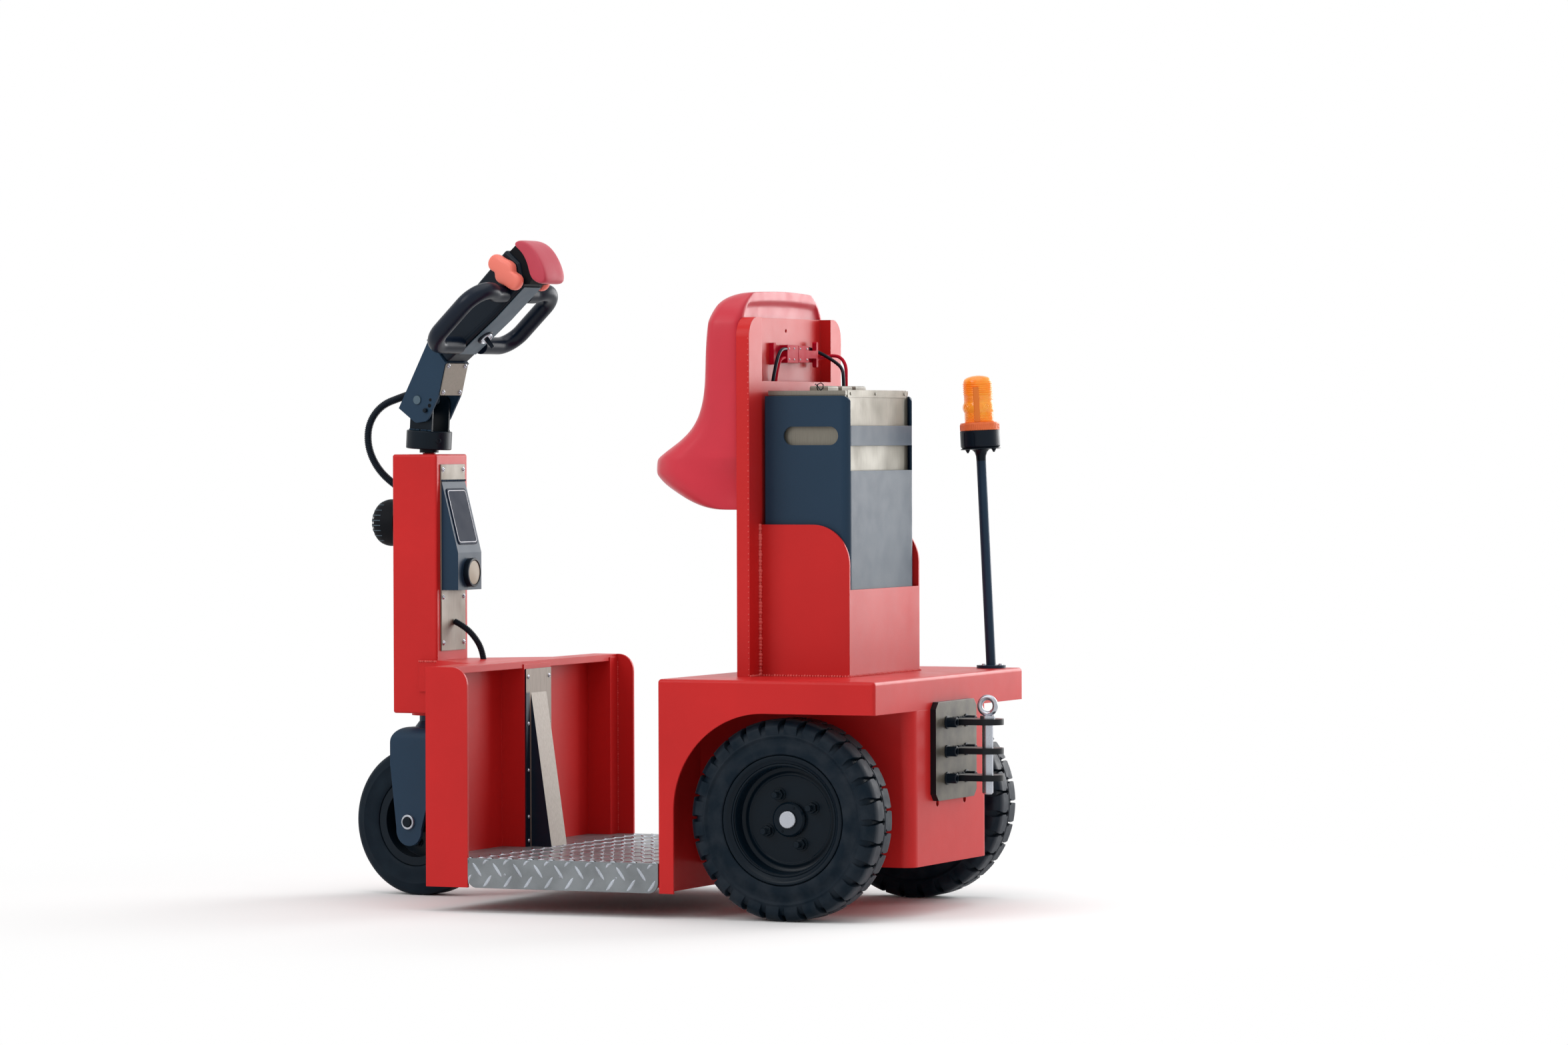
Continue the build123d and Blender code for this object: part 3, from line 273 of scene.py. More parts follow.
def start(name, color, roughness, metallic=0.0, coat=0.0, specular=0.25, sheen=0.0):
    """New material with its principled shader set."""
    material = bpy.data.materials.new(name)
    material.use_nodes = True
    shader = material.node_tree.nodes["Principled BSDF"]
    shader.inputs["Base Color"].default_value = color
    shader.inputs["Roughness"].default_value = roughness
    shader.inputs["Metallic"].default_value = metallic
    shader.inputs["Specular IOR Level"].default_value = specular
    shader.inputs["Sheen Weight"].default_value = sheen
    shader.inputs["Coat Weight"].default_value = coat
    shader.inputs["Coat Roughness"].default_value = 0.15
    return material


def product(material, first, second):
    """Socket with the product of two sockets."""
    return combined(material.node_tree.nodes, material.node_tree.links, "MULTIPLY", first, second)


def coordinate(material, kind, axis):
    """One axis of the place or of the normal where a material is seen."""
    nodes, links = material.node_tree.nodes, material.node_tree.links
    place = nodes.new("ShaderNodeTexCoord")
    apart = nodes.new("ShaderNodeSeparateXYZ")
    links.new(place.outputs[kind], apart.inputs[0])
    return apart.outputs[axis]


def scaled(color, by):
    """Colour made lighter or darker."""
    return tuple(min(1.0, c * by) for c in color[:3]) + (1.0,)


def noise(material, scale, detail=2.0, stretch=(1, 1, 1)):
    """Noise with a number of waves to the metre, from 0 to 1."""
    nodes, links = material.node_tree.nodes, material.node_tree.links
    place = nodes.new("ShaderNodeTexCoord")
    spread = nodes.new("ShaderNodeMapping")
    spread.inputs["Scale"].default_value = stretch
    grain = nodes.new("ShaderNodeTexNoise")
    grain.inputs["Scale"].default_value = scale
    grain.inputs["Detail"].default_value = detail
    links.new(place.outputs["Object"], spread.inputs["Vector"])
    links.new(spread.outputs["Vector"], grain.inputs["Vector"])
    return grain.outputs["Fac"]


def ranged(material, value, low, high, to_low=0.0, to_high=1.0):
    """Value mapped from one range to another, held at its ends."""
    nodes, links = material.node_tree.nodes, material.node_tree.links
    span = nodes.new("ShaderNodeMapRange")
    span.inputs["From Min"].default_value = low
    span.inputs["From Max"].default_value = high
    span.inputs["To Min"].default_value = to_low
    span.inputs["To Max"].default_value = to_high
    links.new(value, span.inputs["Value"])
    return span.outputs["Result"]


def mixed(material, mask, first, second):
    """Colour between two colours or sockets, by a mask."""
    nodes, links = material.node_tree.nodes, material.node_tree.links
    mix = nodes.new("ShaderNodeMix")
    mix.data_type = "RGBA"
    links.new(mask, mix.inputs["Factor"])
    colour_inputs = [s for s in mix.inputs if s.type == "RGBA"]
    for value, socket in ((first, colour_inputs[0]), (second, colour_inputs[1])):
        if isinstance(value, tuple):
            socket.default_value = value
        else:
            links.new(value, socket)
    return [s for s in mix.outputs if s.type == "RGBA"][0]


def edges(material, radius=0.0015):
    """Mask of the edges, from how far a rounded normal leaves the true one."""
    nodes, links = material.node_tree.nodes, material.node_tree.links
    rounded = nodes.new("ShaderNodeBevel")
    rounded.samples = 4
    rounded.inputs["Radius"].default_value = radius
    true = nodes.new("ShaderNodeNewGeometry")
    dot = nodes.new("ShaderNodeVectorMath")
    dot.operation = "DOT_PRODUCT"
    links.new(rounded.outputs["Normal"], dot.inputs[0])
    links.new(true.outputs["Normal"], dot.inputs[1])
    return ranged(material, dot.outputs["Value"], 0.985, 0.8)


def surface(material, height, depth, radius=0.0015):
    """Bump of a depth in metres over softly rounded edges."""
    nodes, links = material.node_tree.nodes, material.node_tree.links
    bump = nodes.new("ShaderNodeBump")
    bump.inputs["Strength"].default_value = 1.0
    bump.inputs["Distance"].default_value = depth
    links.new(height, bump.inputs["Height"])
    if radius:
        rounded = nodes.new("ShaderNodeBevel")
        rounded.samples = 4
        rounded.inputs["Radius"].default_value = radius
        links.new(rounded.outputs["Normal"], bump.inputs["Normal"])
    links.new(bump.outputs["Normal"], nodes["Principled BSDF"].inputs["Normal"])


def feed(material, color=None, roughness=None):
    """Joins a colour and a roughness socket to the shader."""
    links = material.node_tree.links
    shader = material.node_tree.nodes["Principled BSDF"]
    if color:
        links.new(color, shader.inputs["Base Color"])
    if roughness:
        links.new(roughness, shader.inputs["Roughness"])


def paint(name, color, roughness=0.36, coat=0.06, grain=650, depth=0.00005, edge_highlight=1.35):
    """Powder coat: fine orange peel, faint clouds, a grain in the colour and a painted highlight that
    lightens the edges in patches.
    """
    material = start(name, color, roughness, coat=coat, specular=0.13)
    clouds = ranged(material, noise(material, 5, 4), 0.3, 0.7)
    base = mixed(material, clouds, scaled(color, 0.93), scaled(color, 1.06))
    speckle = ranged(material, noise(material, 900, 1), 0.45, 0.75, 0, 0.35)
    base = mixed(material, speckle, base, scaled(color, 1.25))
    # Painted highlight: the edges are mixed towards a lighter colour, broken up in patches by noise
    highlight_patches = ranged(material, noise(material, 60, 3), 0.45, 0.62, 0.15, 0.8)
    base = mixed(material, product(material, edges(material), highlight_patches), base, scaled(color, edge_highlight))
    sheen = ranged(material, noise(material, 28, 3), 0.35, 0.65, roughness - 0.02, roughness + 0.03)
    feed(material, base, sheen)
    surface(material, noise(material, grain, 2), depth)
    return material


def brushed(name, color, roughness=0.32, metallic=0.85, stretch=(1, 1, 0.03), depth=0.00003):
    """Sheet metal with a brushed grain along one way, dulled in patches."""
    material = start(name, color, roughness, metallic=metallic)
    hairs = noise(material, 900, 2, stretch)
    base = mixed(material, ranged(material, hairs, 0.3, 0.7), scaled(color, 0.88), scaled(color, 1.1))
    patches = ranged(material, noise(material, 14, 4), 0.35, 0.7, roughness - 0.04, roughness + 0.14)
    feed(material, base, patches)
    surface(material, hairs, depth, 0.001)
    return material


def rolled(name, color, roughness=0.42, metallic=0.55):
    """Rolled plate: mottled grey with fine scratches."""
    material = start(name, color, roughness, metallic=metallic)
    mottle = ranged(material, noise(material, 22, 6), 0.35, 0.65)
    base = mixed(material, mottle, scaled(color, 0.8), scaled(color, 1.15))
    fine = ranged(material, noise(material, 700, 2), 0.3, 0.7, 0, 0.4)
    base = mixed(material, fine, base, scaled(color, 1.3))
    dull = ranged(material, noise(material, 40, 3), 0.3, 0.7, roughness - 0.08, roughness + 0.1)
    feed(material, base, dull)
    surface(material, noise(material, 500, 3), 0.00006)
    return material


def wheel_reach(material):
    """Socket with the distance from the rear axle, in metres."""
    nodes, links = material.node_tree.nodes, material.node_tree.links
    flat = nodes.new("ShaderNodeCombineXYZ")
    for axis, shift in (("X", AHEAD / 1000), ("Z", -REAR_RADIUS / 1000)):
        away = nodes.new("ShaderNodeMath")
        away.inputs[1].default_value = shift
        links.new(coordinate(material, "Object", axis), away.inputs[0])
        links.new(away.outputs[0], flat.inputs[axis])
    reach = nodes.new("ShaderNodeVectorMath")
    reach.operation = "LENGTH"
    links.new(flat.outputs[0], reach.inputs[0])
    return reach.outputs["Value"]


def rubber(name, color, dust, worn_radius=None):
    """Black rubber with a bloom of dust, greyer on the crown of the lugs."""
    material = start(name, color, 0.5, specular=0.1)
    bloom = ranged(material, noise(material, 30, 5), 0.4, 0.7, 0, 0.25)
    base = mixed(material, bloom, color, dust)
    if worn_radius:
        crown = ranged(material, wheel_reach(material), worn_radius - 0.004, worn_radius, 0, 0.8)
        base = mixed(material, crown, base, dust)
    feed(material, base, ranged(material, noise(material, 60, 4), 0.3, 0.7, 0.42, 0.62))
    surface(material, noise(material, 500, 3), 0.00006, 0.0012)
    return material


def moulded(name, color, roughness=0.45, grain=800, depth=0.00006, sheen=0.0, specular=0.3):
    """Moulded plastic or foam skin with a fine cast grain."""
    material = start(name, color, roughness, specular=specular, sheen=sheen)
    tone = ranged(material, noise(material, 6, 3), 0.3, 0.7)
    base = mixed(material, tone, scaled(color, 0.94), scaled(color, 1.06))
    dull = ranged(material, noise(material, 35, 3), 0.3, 0.7, roughness - 0.05, roughness + 0.07)
    feed(material, base, dull)
    surface(material, noise(material, grain, 3), depth, 0.001)
    return material


def amber_lens():
    """Clear amber plastic that light soaks through, with a faint painted glow."""
    material = start("amber", linear(255, 170, 50), 0.15, coat=0.3)
    shader = material.node_tree.nodes["Principled BSDF"]
    # Weak emission: a painted glow for the light that soaks through the lens
    shader.inputs["Emission Color"].default_value = linear(255, 150, 30)
    shader.inputs["Emission Strength"].default_value = 0.12
    shader.inputs["Subsurface Weight"].default_value = 0.35
    shader.inputs["Subsurface Radius"].default_value = (0.02, 0.012, 0.004)
    tone = ranged(material, noise(material, 30, 2), 0.35, 0.65)
    feed(material, mixed(material, tone, linear(255, 140, 34), linear(255, 172, 66)))
    surface(material, noise(material, 120, 2), 0.0001, 0.0006)
    return material


def facing_back(material):
    """Mask of the faces that look to the rear."""
    return ranged(material, coordinate(material, "Normal", "X"), -0.8, -0.5, 1.0, 0.0)


def duct_metal():
    """Duct cover: bare steel on the strip that looks back, dark paint on its flanks."""
    material = start("duct_metal", linear(32, 54, 74), 0.42, metallic=0.15)
    grain = noise(material, 900, 2, (1, 1, 0.03))
    hairs = ranged(material, grain, 0.3, 0.7)
    steel = mixed(material, hairs, linear(126, 120, 110), linear(150, 143, 132))
    wide = ranged(material, coordinate(material, "Object", "Y"), 0.041, 0.042)
    low = ranged(material, coordinate(material, "Object", "Z"), 0.43, 0.425)
    navy = linear(22, 38, 54)
    dressed = mixed(material, product(material, wide, low), steel, navy)
    feed(material, mixed(material, facing_back(material), navy, dressed))
    surface(material, grain, 0.00003, 0.001)
    return material


def hitch_steel():
    """Oiled plate, olive grey on its wide face, black on its edges and on the ears."""
    material = start("hitch_paint", linear(84, 79, 70), 0.36, metallic=0.2)
    ear_starts = (HITCH_FACE - AHEAD) / 1000
    plate = ranged(material, coordinate(material, "Object", "X"), ear_starts - 0.0005, ear_starts)
    face = product(material, plate, facing_back(material))
    mottle = ranged(material, noise(material, 25, 5), 0.3, 0.7)
    steel = mixed(material, mottle, linear(70, 66, 58), linear(104, 98, 86))
    feed(material, mixed(material, face, linear(16, 20, 25), steel))
    surface(material, noise(material, 400, 3), 0.00008, 0.0012)
    return material


MATERIALS = {
    "red_paint": paint("red_paint", linear(196, 38, 38)),
    "dark_paint": paint("dark_paint", linear(32, 54, 74), roughness=0.4, grain=600, depth=0.00014),
    "black_metal": paint("black_metal", linear(8, 21, 31), roughness=0.3, coat=0.0),
    # Weld beads painted a lighter, glossier red than the body: a painted highlight where the beads catch
    # light
    "weld_highlight_red": paint("weld_highlight_red", linear(222, 92, 88), roughness=0.3, coat=0.4),
    "stainless": brushed("stainless", linear(132, 127, 117), roughness=0.42, metallic=0.3),
    "chequer_plate": rolled("chequer_plate", linear(124, 129, 132), roughness=0.36, metallic=0.5),
    # The bars are painted lighter and more metallic than the plate: a painted highlight on them
    "chequer_bar_highlight": rolled("chequer_bar_highlight", linear(172, 178, 186), roughness=0.22, metallic=0.85),
    "zinc": brushed("zinc", linear(176, 180, 188), roughness=0.25, metallic=0.9, stretch=(1, 1, 1)),
    "tyre": rubber("tyre", linear(9, 24, 35), linear(66, 70, 76), 0.1995),
    "front_rubber": rubber("front_rubber", linear(8, 22, 33), linear(34, 48, 58)),
    "seat_red": moulded(
        "seat_red", linear(200, 40, 58), roughness=0.38, grain=1100, depth=0.00005, sheen=0.15
    ),
    "black_plastic": moulded("black_plastic", linear(12, 23, 34), roughness=0.36, specular=0.14),
    "grip_rubber": moulded("grip_rubber", linear(9, 22, 38), roughness=0.32, depth=0.00003, specular=0.2),
    "panel_grey": moulded("panel_grey", linear(74, 94, 106), roughness=0.45),
    "duct_metal": duct_metal(),
    "amber_foot": moulded("amber_foot", linear(240, 118, 66), roughness=0.3),
    "amber_deep": moulded("amber_deep", linear(240, 128, 44), roughness=0.2),
    "screen": moulded("screen", linear(26, 38, 58), roughness=0.3, depth=0.00001, specular=0.02),
    "amber": amber_lens(),
    "button_red": moulded(
        "button_red", linear(184, 58, 76), roughness=0.5, grain=500, depth=0.00012, sheen=0.2
    ),
    "knob_coral": moulded("knob_coral", linear(238, 124, 108), roughness=0.35),
    "plug_red": moulded("plug_red", linear(190, 16, 44), roughness=0.5, specular=0.08),
    "case_metal": brushed("case_metal", linear(118, 114, 104), roughness=0.4, metallic=0.5),
    "hitch_paint": hitch_steel(),
    "dial_face": moulded("dial_face", linear(160, 154, 134), roughness=0.35, depth=0.00001, specular=0.15),
    "white_print": moulded("white_print", linear(200, 208, 216), roughness=0.4, depth=0.00001),
    "deep_black": moulded("deep_black", linear(10, 13, 18), roughness=0.6, specular=0.1),
}
# Nodes whose look differs from the rest of their slot
OWN_FINISH = {
    "wedge_cover": "duct_metal", "front_axle": "black_metal", "battery_lid": "stainless",
    "beacon_pole": "dark_paint", "tilt_pin": "panel_grey", "horn": "deep_black",
}


# Shapes in millimetres: a list of corners and a list of faces

def joined(shapes):
    """Several shapes as one."""
    points, faces = [], []
    for shape_points, shape_faces in shapes:
        base = len(points)
        points += shape_points
        faces += [tuple(base + i for i in face) for face in shape_faces]
    return points, faces


def moved(shape, matrix):
    """Shape carried by a matrix."""
    return [matrix @ Vector(p) for p in shape[0]], shape[1]


def pointing(place, direction, size=1.0, turn=0.0):
    """Matrix that puts a shape at a place, with its z along a direction."""
    aim = Vector(direction).to_track_quat("Z", "Y").to_matrix().to_4x4()
    spin = Matrix.Rotation(math.radians(turn), 4, "Z")
    return Matrix.Translation(place) @ aim @ spin @ Matrix.Scale(size, 4)


def on_circle(radius, degrees):
    """Point of a circle, as its two lengths."""
    turn = math.radians(degrees)
    return radius * math.cos(turn), radius * math.sin(turn)


def copies(shape, spots, size=1.0):
    """Copies of a shape, one for each place and direction."""
    return joined([moved(shape, pointing(place, way, size)) for place, way in spots])


def skin(rings, count, closed=False, inward=False):
    """Faces over rings of as many points each, with a face on each open end."""
    faces = []
    for r in range(rings if closed else rings - 1):
        upper = (r + 1) % rings
        for k in range(count):
            after = (k + 1) % count
            faces.append((r * count + k, r * count + after, upper * count + after, upper * count + k))
    if not closed:
        faces.append(tuple(reversed(range(count))))
        faces.append(tuple((rings - 1) * count + k for k in range(count)))
    if inward:
        faces = [tuple(reversed(face)) for face in faces]
    return faces


def lathe(profile, sides=24, closed=False):
    """Shape turned about z, from a profile of radius and height."""
    points = []
    for radius, height in profile:
        for k in range(sides):
            turn = 2 * math.pi * k / sides
            points.append(Vector((radius * math.cos(turn), radius * math.sin(turn), height)))
    return points, skin(len(profile), sides, closed)


def prism(outline, low, high, shrink=0.0):
    """Upright block over a flat outline, its top drawn in by a share of the outline."""
    points = [Vector((x, y, low)) for x, y in outline]
    points += [Vector((x * (1 - shrink), y * (1 - shrink), high)) for x, y in outline]
    return points, skin(2, len(outline))


def rounded_rectangle(width, height, radius, steps=5):
    """Outline of a rectangle with round corners."""
    points = []
    for quarter, (sx, sy) in enumerate(((1, 1), (-1, 1), (-1, -1), (1, -1))):
        for k in range(steps + 1):
            turn = math.pi / 2 * (quarter + k / steps)
            x = sx * (width / 2 - radius) + radius * math.cos(turn)
            y = sy * (height / 2 - radius) + radius * math.sin(turn)
            points.append((x, y))
    return points


def border(outer, inner, low, high):
    """Raised band between two outlines of as many points."""
    points = []
    for outline, z in ((outer, low), (outer, high), (inner, high), (inner, low)):
        points += [Vector((x, y, z)) for x, y in outline]
    return points, skin(4, len(outer), closed=True)


def circle_at(centre, ahead, radius, sides):
    """Points of a circle round a centre, square to a direction."""
    turn = ahead.to_track_quat("Z", "Y").to_matrix()
    points = []
    for j in range(sides):
        angle = 2 * math.pi * j / sides
        points.append(centre + turn @ Vector((radius * math.cos(angle), radius * math.sin(angle), 0)))
    return points


def tube(path, radius, sides=12):
    """Round bar along points."""
    path = [Vector(p) for p in path]
    points = []
    for k, centre in enumerate(path):
        ahead = path[min(k + 1, len(path) - 1)] - path[max(k - 1, 0)]
        points += circle_at(centre, ahead, radius, sides)
    return points, skin(len(path), sides)


def weld(first, last, radius, step=3.2):
    """Row of overlapping beads along a seam."""
    first, last = Vector(first), Vector(last)
    bead = lathe(((0.05, -1), (0.72, -0.7), (1, 0), (0.72, 0.7), (0.05, 1)), 8)
    count = max(2, round((last - first).length / step))
    beads = []
    for k in range(count + 1):
        size = radius * (1 + 0.16 * math.sin(2.4 * k) + 0.12 * math.sin(5.1 * k + 1))
        spot = Matrix.Translation(first.lerp(last, k / count))
        beads.append(moved(bead, spot @ Matrix.Scale(size, 4)))
    return joined(beads)


def dome_screw(radius=4.5):
    """Domed screw head with its small socket."""
    h = radius
    return lathe((
        (h * 1.25, 0), (h * 1.25, h * 0.12), (h, h * 0.14), (h * 0.94, h * 0.4), (h * 0.72, h * 0.66),
        (h * 0.42, h * 0.76), (h * 0.4, h * 0.4), (0.05, h * 0.38),
    ), 16)


def socket_bolt(radius=9.0, height=14.0):
    """Cylinder head bolt on a washer, with a deep hexagon socket."""
    washer = lathe(((radius * 1.3, 0), (radius * 1.3, 2.2), (radius * 0.9, 2.3)), 20)
    head = lathe((
        (radius, 2), (radius, height - 1), (radius - 1, height), (radius * 0.62, height),
        (radius * 0.58, height - 1), (radius * 0.56, height - 7), (0.05, height - 7.2),
    ), 24)
    return joined([washer, head])


def nut_and_stud(radius=9.5, height=8.0, reach=14.0):
    """Hexagon nut on a washer, with the end of its stud."""
    washer = lathe(((radius * 1.25, 0), (radius * 1.25, 1.8), (radius * 0.9, 1.9)), 20)
    top = height + 1
    body = lathe(((radius, 1.5), (radius, height), (radius * 0.86, top), (radius * 0.5, top)), 6)
    threads = [(radius * 0.55, height)]
    turns = max(2, int((reach - height) / 1.6))
    for k in range(turns):
        z = height + (reach - height) * (k + 0.5) / turns
        threads += [(radius * 0.58, z), (radius * 0.5, z + 0.5 * (reach - height) / turns)]
    threads += [(radius * 0.42, reach), (0.05, reach + 0.2)]
    return joined([washer, body, lathe(threads, 16)])


def hex_screw(radius=5.0, height=3.6):
    """Low hexagon head on a washer."""
    washer = lathe(((radius * 1.4, 0), (radius * 1.4, 1.0), (radius, 1.1)), 16)
    head = lathe(((radius, 0.9), (radius, height - 0.6), (radius * 0.88, height), (0.05, height + 0.1)), 6)
    return joined([washer, head])


def show(name, shape, body, slot, finish=None, placing=DRAWING, smooth=30):
    """Object from a shape, in its slot's finish or its own, that rides on the body given."""
    points, faces = shape
    mesh = bpy.data.meshes.new(name)
    mesh.from_pydata([tuple(placing @ Vector(p)) for p in points], [], faces)
    mesh.update()
    mesh.shade_smooth()
    mesh.set_sharp_from_angle(angle=math.radians(smooth))
    mesh.materials.append(MATERIALS[finish or slot])
    piece = bpy.data.objects.new(name, mesh)
    bpy.context.scene.collection.objects.link(piece)
    if body:
        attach(piece, body)
    return piece


def smoothed(piece, levels):
    """Applies a subdivision surface to a piece."""
    finer = piece.modifiers.new("finer", "SUBSURF")
    finer.levels = levels
    finer.render_levels = levels
    graph = bpy.context.evaluated_depsgraph_get()
    mesh = bpy.data.meshes.new_from_object(piece.evaluated_get(graph))
    piece.modifiers.clear()
    piece.data = mesh


def finish_cad_nodes():
    """Gives each CAD node the finish of its slot."""
    slot_of = {part["node"]: part["material_slot"] for part in frame["record"]["subparts"]}
    for name, node in frame["nodes"].items():
        node.data.materials.clear()
        node.data.materials.append(MATERIALS[OWN_FINISH.get(name, slot_of[name])])


# Cords

def spline_object(name, route, placing=DRAWING):
    """Open curve with the route's points as the control points of its spline."""
    data = bpy.data.curves.new(name, "CURVE")
    data.dimensions = "3D"
    spline = data.splines.new("NURBS")
    spline.points.add(len(route) - 1)
    for point, corner in zip(spline.points, route):
        point.co = (*(placing @ Vector(corner)), 1.0)
    spline.order_u = 3
    spline.use_endpoint_u = True
    spline.resolution_u = 16
    curve = bpy.data.objects.new(name, data)
    bpy.context.scene.collection.objects.link(curve)
    return curve


def fixed_cord(node, route, radius, finish):
    """Cord whose two ends are both held by the chassis."""
    curve = spline_object(node + "_line", route)
    curve.data.bevel_depth = radius / 1000
    curve.data.bevel_resolution = 5
    curve.data.use_fill_caps = True
    curve.data.materials.append(MATERIALS[finish])
    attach(curve, "chassis")
    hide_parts(node)


def ribbed_tube(name, route, radius, pitch, rib, step=4, sides=20):
    """Ribbed hose along the spline of a route, as a mesh, and the points that it follows."""
    guide = spline_object(name + "_guide", route)
    line = bpy.data.meshes.new_from_object(guide)
    path = [v.co.copy() for v in line.vertices]
    bpy.data.objects.remove(guide)
    lengths = [0.0]
    for a, b in zip(path, path[1:]):
        lengths.append(lengths[-1] + (b - a).length)
    turns = round(lengths[-1] / (pitch / 1000))
    rings = turns * step + 1
    points = []
    at = 0
    for k in range(rings):
        along = lengths[-1] * k / (turns * step)
        while at < len(path) - 2 and lengths[at + 1] < along:
            at += 1
        share = (along - lengths[at]) / max(1e-9, lengths[at + 1] - lengths[at])
        centre = path[at].lerp(path[at + 1], min(1, share))
        before, after = path[max(at - 1, 0)], path[min(at + 2, len(path) - 1)]
        reach = (radius - (rib if k % step in (0, 1) else 0)) / 1000
        points += circle_at(centre, after - before, reach, sides)
    return (points, skin(rings, sides)), path


def add_cords():
    """Conduits and battery leads."""
    for node, route in BATTERY_LEADS.items():
        fixed_cord(node, route, 3.5, "plug_red" if "red" in node else "black_plastic")
    shape, _ = ribbed_tube("column_conduit", COLUMN_CONDUIT, 6.75, 3.4, 0.9)
    lower = show("column_conduit_hose", shape, "chassis", "black_plastic", placing=Matrix())
    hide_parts("column_conduit")
    shape, path = ribbed_tube("tiller_conduit", TILLER_CONDUIT, 8.0, 3.6, 1.1)
    upper = show("tiller_conduit_hose", shape, None, "black_plastic", placing=Matrix())
    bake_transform(upper)
    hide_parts("tiller_conduit")


# Wheels

# Section of a rear tyre's carcass, from bead to crown: radius and distance from the middle
SIDEWALL = (
    (108, 40), (129.5, 40), (129.5, 46.5), (131.5, 48.4), (140, 49.4), (148, 49), (151, 47.4),
    (161, 47.6), (164.5, 50.4), (166, 51.5), (167.8, 51), (171, 50.5), (176, 49), (182, 45.5),
    (186.5, 41), (188.6, 34), (188.8, 18),
)
# Stations across a lug: radius, distance from the middle, half the gap beside it, and how far
# its wall runs down and in
LUG_STATIONS = (
    (199.2, 1.4, 0.8, 10.5, 0), (200, 2.8, 2.4, 11.2, 0), (200, 5, 6.6, 11.2, 0),
    (200, 8.5, 7, 11.2, 0), (200, 12, 3.6, 11.2, 0), (200, 15, 2.3, 11.2, 0), (200, 22, 2.4, 11.2, 0),
    (200, 28, 2.6, 11.2, 0), (199.9, 34, 4, 11, 0), (197, 39, 5.4, 9, 2), (193, 44.5, 6.6, 7, 4),
    (187.5, 50.6, 7.2, 4, 6), (184, 52, 7, 0, 6.5), (179, 52, 6.2, 0, 3.5), (174, 51.6, 5.6, 0, 1.6),
    (169.5, 51, 5, 0, 0.6),
)


def around(radius, angle, across):
    """Point of a wheel that stands on the y axis, by radius, angle from the top and y."""
    return Vector((radius * math.sin(angle), across, radius * math.cos(angle)))


def lug(start_angle, end_angle, side):
    """One lug between two slits, as a grid over its top with a wall at each slit."""
    across = 6
    columns = []
    for column in range(across + 1):
        line = []
        for radius, y, gap, _, _ in LUG_STATIONS:
            first = start_angle + gap / radius
            last = end_angle - gap / radius
            line.append(around(radius, first + (last - first) * column / across, side * y))
        columns.append(line)
    for at_end in (False, True):
        wall = []
        for radius, y, gap, down, inward in LUG_STATIONS:
            angle = end_angle - gap / radius if at_end else start_angle + gap / radius
            wall.append(around(radius - down, angle, side * (y - inward)))
        if at_end:
            columns.append(wall)
        else:
            columns.insert(0, wall)
    points = [p for line in columns for p in line]
    count = len(LUG_STATIONS)
    faces = []
    for a in range(len(columns) - 1):
        for b in range(count - 1):
            face = (a * count + b, (a + 1) * count + b, (a + 1) * count + b + 1, a * count + b + 1)
            faces.append(face if side < 0 else tuple(reversed(face)))
    return points, faces


def lug_tyre():
    """Solid tyre about the y axis: carcass with rings on its sidewall, and two rows of lugs."""
    section = list(SIDEWALL) + [(r, -y) for r, y in reversed(SIDEWALL)]
    carcass = moved(lathe(section, 140, closed=True), Matrix.Rotation(math.radians(90), 4, "X"))
    pitch = 2 * math.pi / LUG_COUNT
    lugs = []
    for k in range(LUG_COUNT):
        lugs.append(lug(k * pitch, (k + 1) * pitch, 1))
        lugs.append(lug((k + 0.5) * pitch, (k + 1.5) * pitch, -1))
    return joined([carcass] + lugs)


def wheel_placing(side):
    """Place of a rear wheel, its outer face to the side given."""
    there = Matrix.Translation((0, side * REAR_WHEEL_Y, REAR_RADIUS))
    return there if side > 0 else there @ Matrix.Rotation(math.pi, 4, "Z")


def wheel_studs():
    """Four studs with nuts, and two screws on the hub ring."""
    outward = (0, 1, 0)
    parts = []
    for degrees in (64, 154, 244, 334):
        x, z = on_circle(54, degrees)
        parts.append(moved(nut_and_stud(11, 10, 27), pointing((x, 6, z), outward, turn=degrees)))
    for degrees in (118, 298):
        x, z = on_circle(26, degrees)
        parts.append(moved(dome_screw(2.6), pointing((x, 17.5, z), outward)))
    return joined(parts)


def pressed_rim():
    """Wheel about the y axis: rolled lip, stepped barrel, dished disc and hub."""
    outer = (
        (SHAFT_RADIUS, 18), (30.5, 18), (34.5, 14), (34.5, 6), (86, 6), (88, 8), (91, 8), (94, 5.5),
        (99, 5.5), (103.5, 9), (104.5, 14), (104.5, 30), (107, 37), (112, 40.5), (116, 42), (119, 46),
        (122, 48), (126.5, 48), (128, 46.4), (128, 40.3), (108, 40.3), (107.5, 0),
    )
    inner = (
        (107.5, -40.3), (128, -40.3), (128, -46.4), (101, -46.4), (101, -14), (90, -2), (SHAFT_RADIUS, -2),
    )
    return moved(lathe(outer + inner, 96, closed=True), Matrix.Rotation(math.radians(-90), 4, "X"))


def add_rear_wheels():
    """Detailed tyres in place of the CAD's, and the nuts of the wheels."""
    tyre = lug_tyre()
    for name, side in (("left", 1), ("right", -1)):
        placing = DRAWING @ wheel_placing(side)
        body = "rear_wheel_" + name
        rubber_piece = show("lug_tyre_" + name, tyre, body, "tyre", placing=placing, smooth=32)
        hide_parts("rear_tyre_" + name)
        show("wheel_studs_" + name, wheel_studs(), body, "black_metal", placing=placing)
        rim = show("pressed_rim_" + name, pressed_rim(), body, "black_metal", placing=placing, smooth=40)
        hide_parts("rear_rim_" + name)


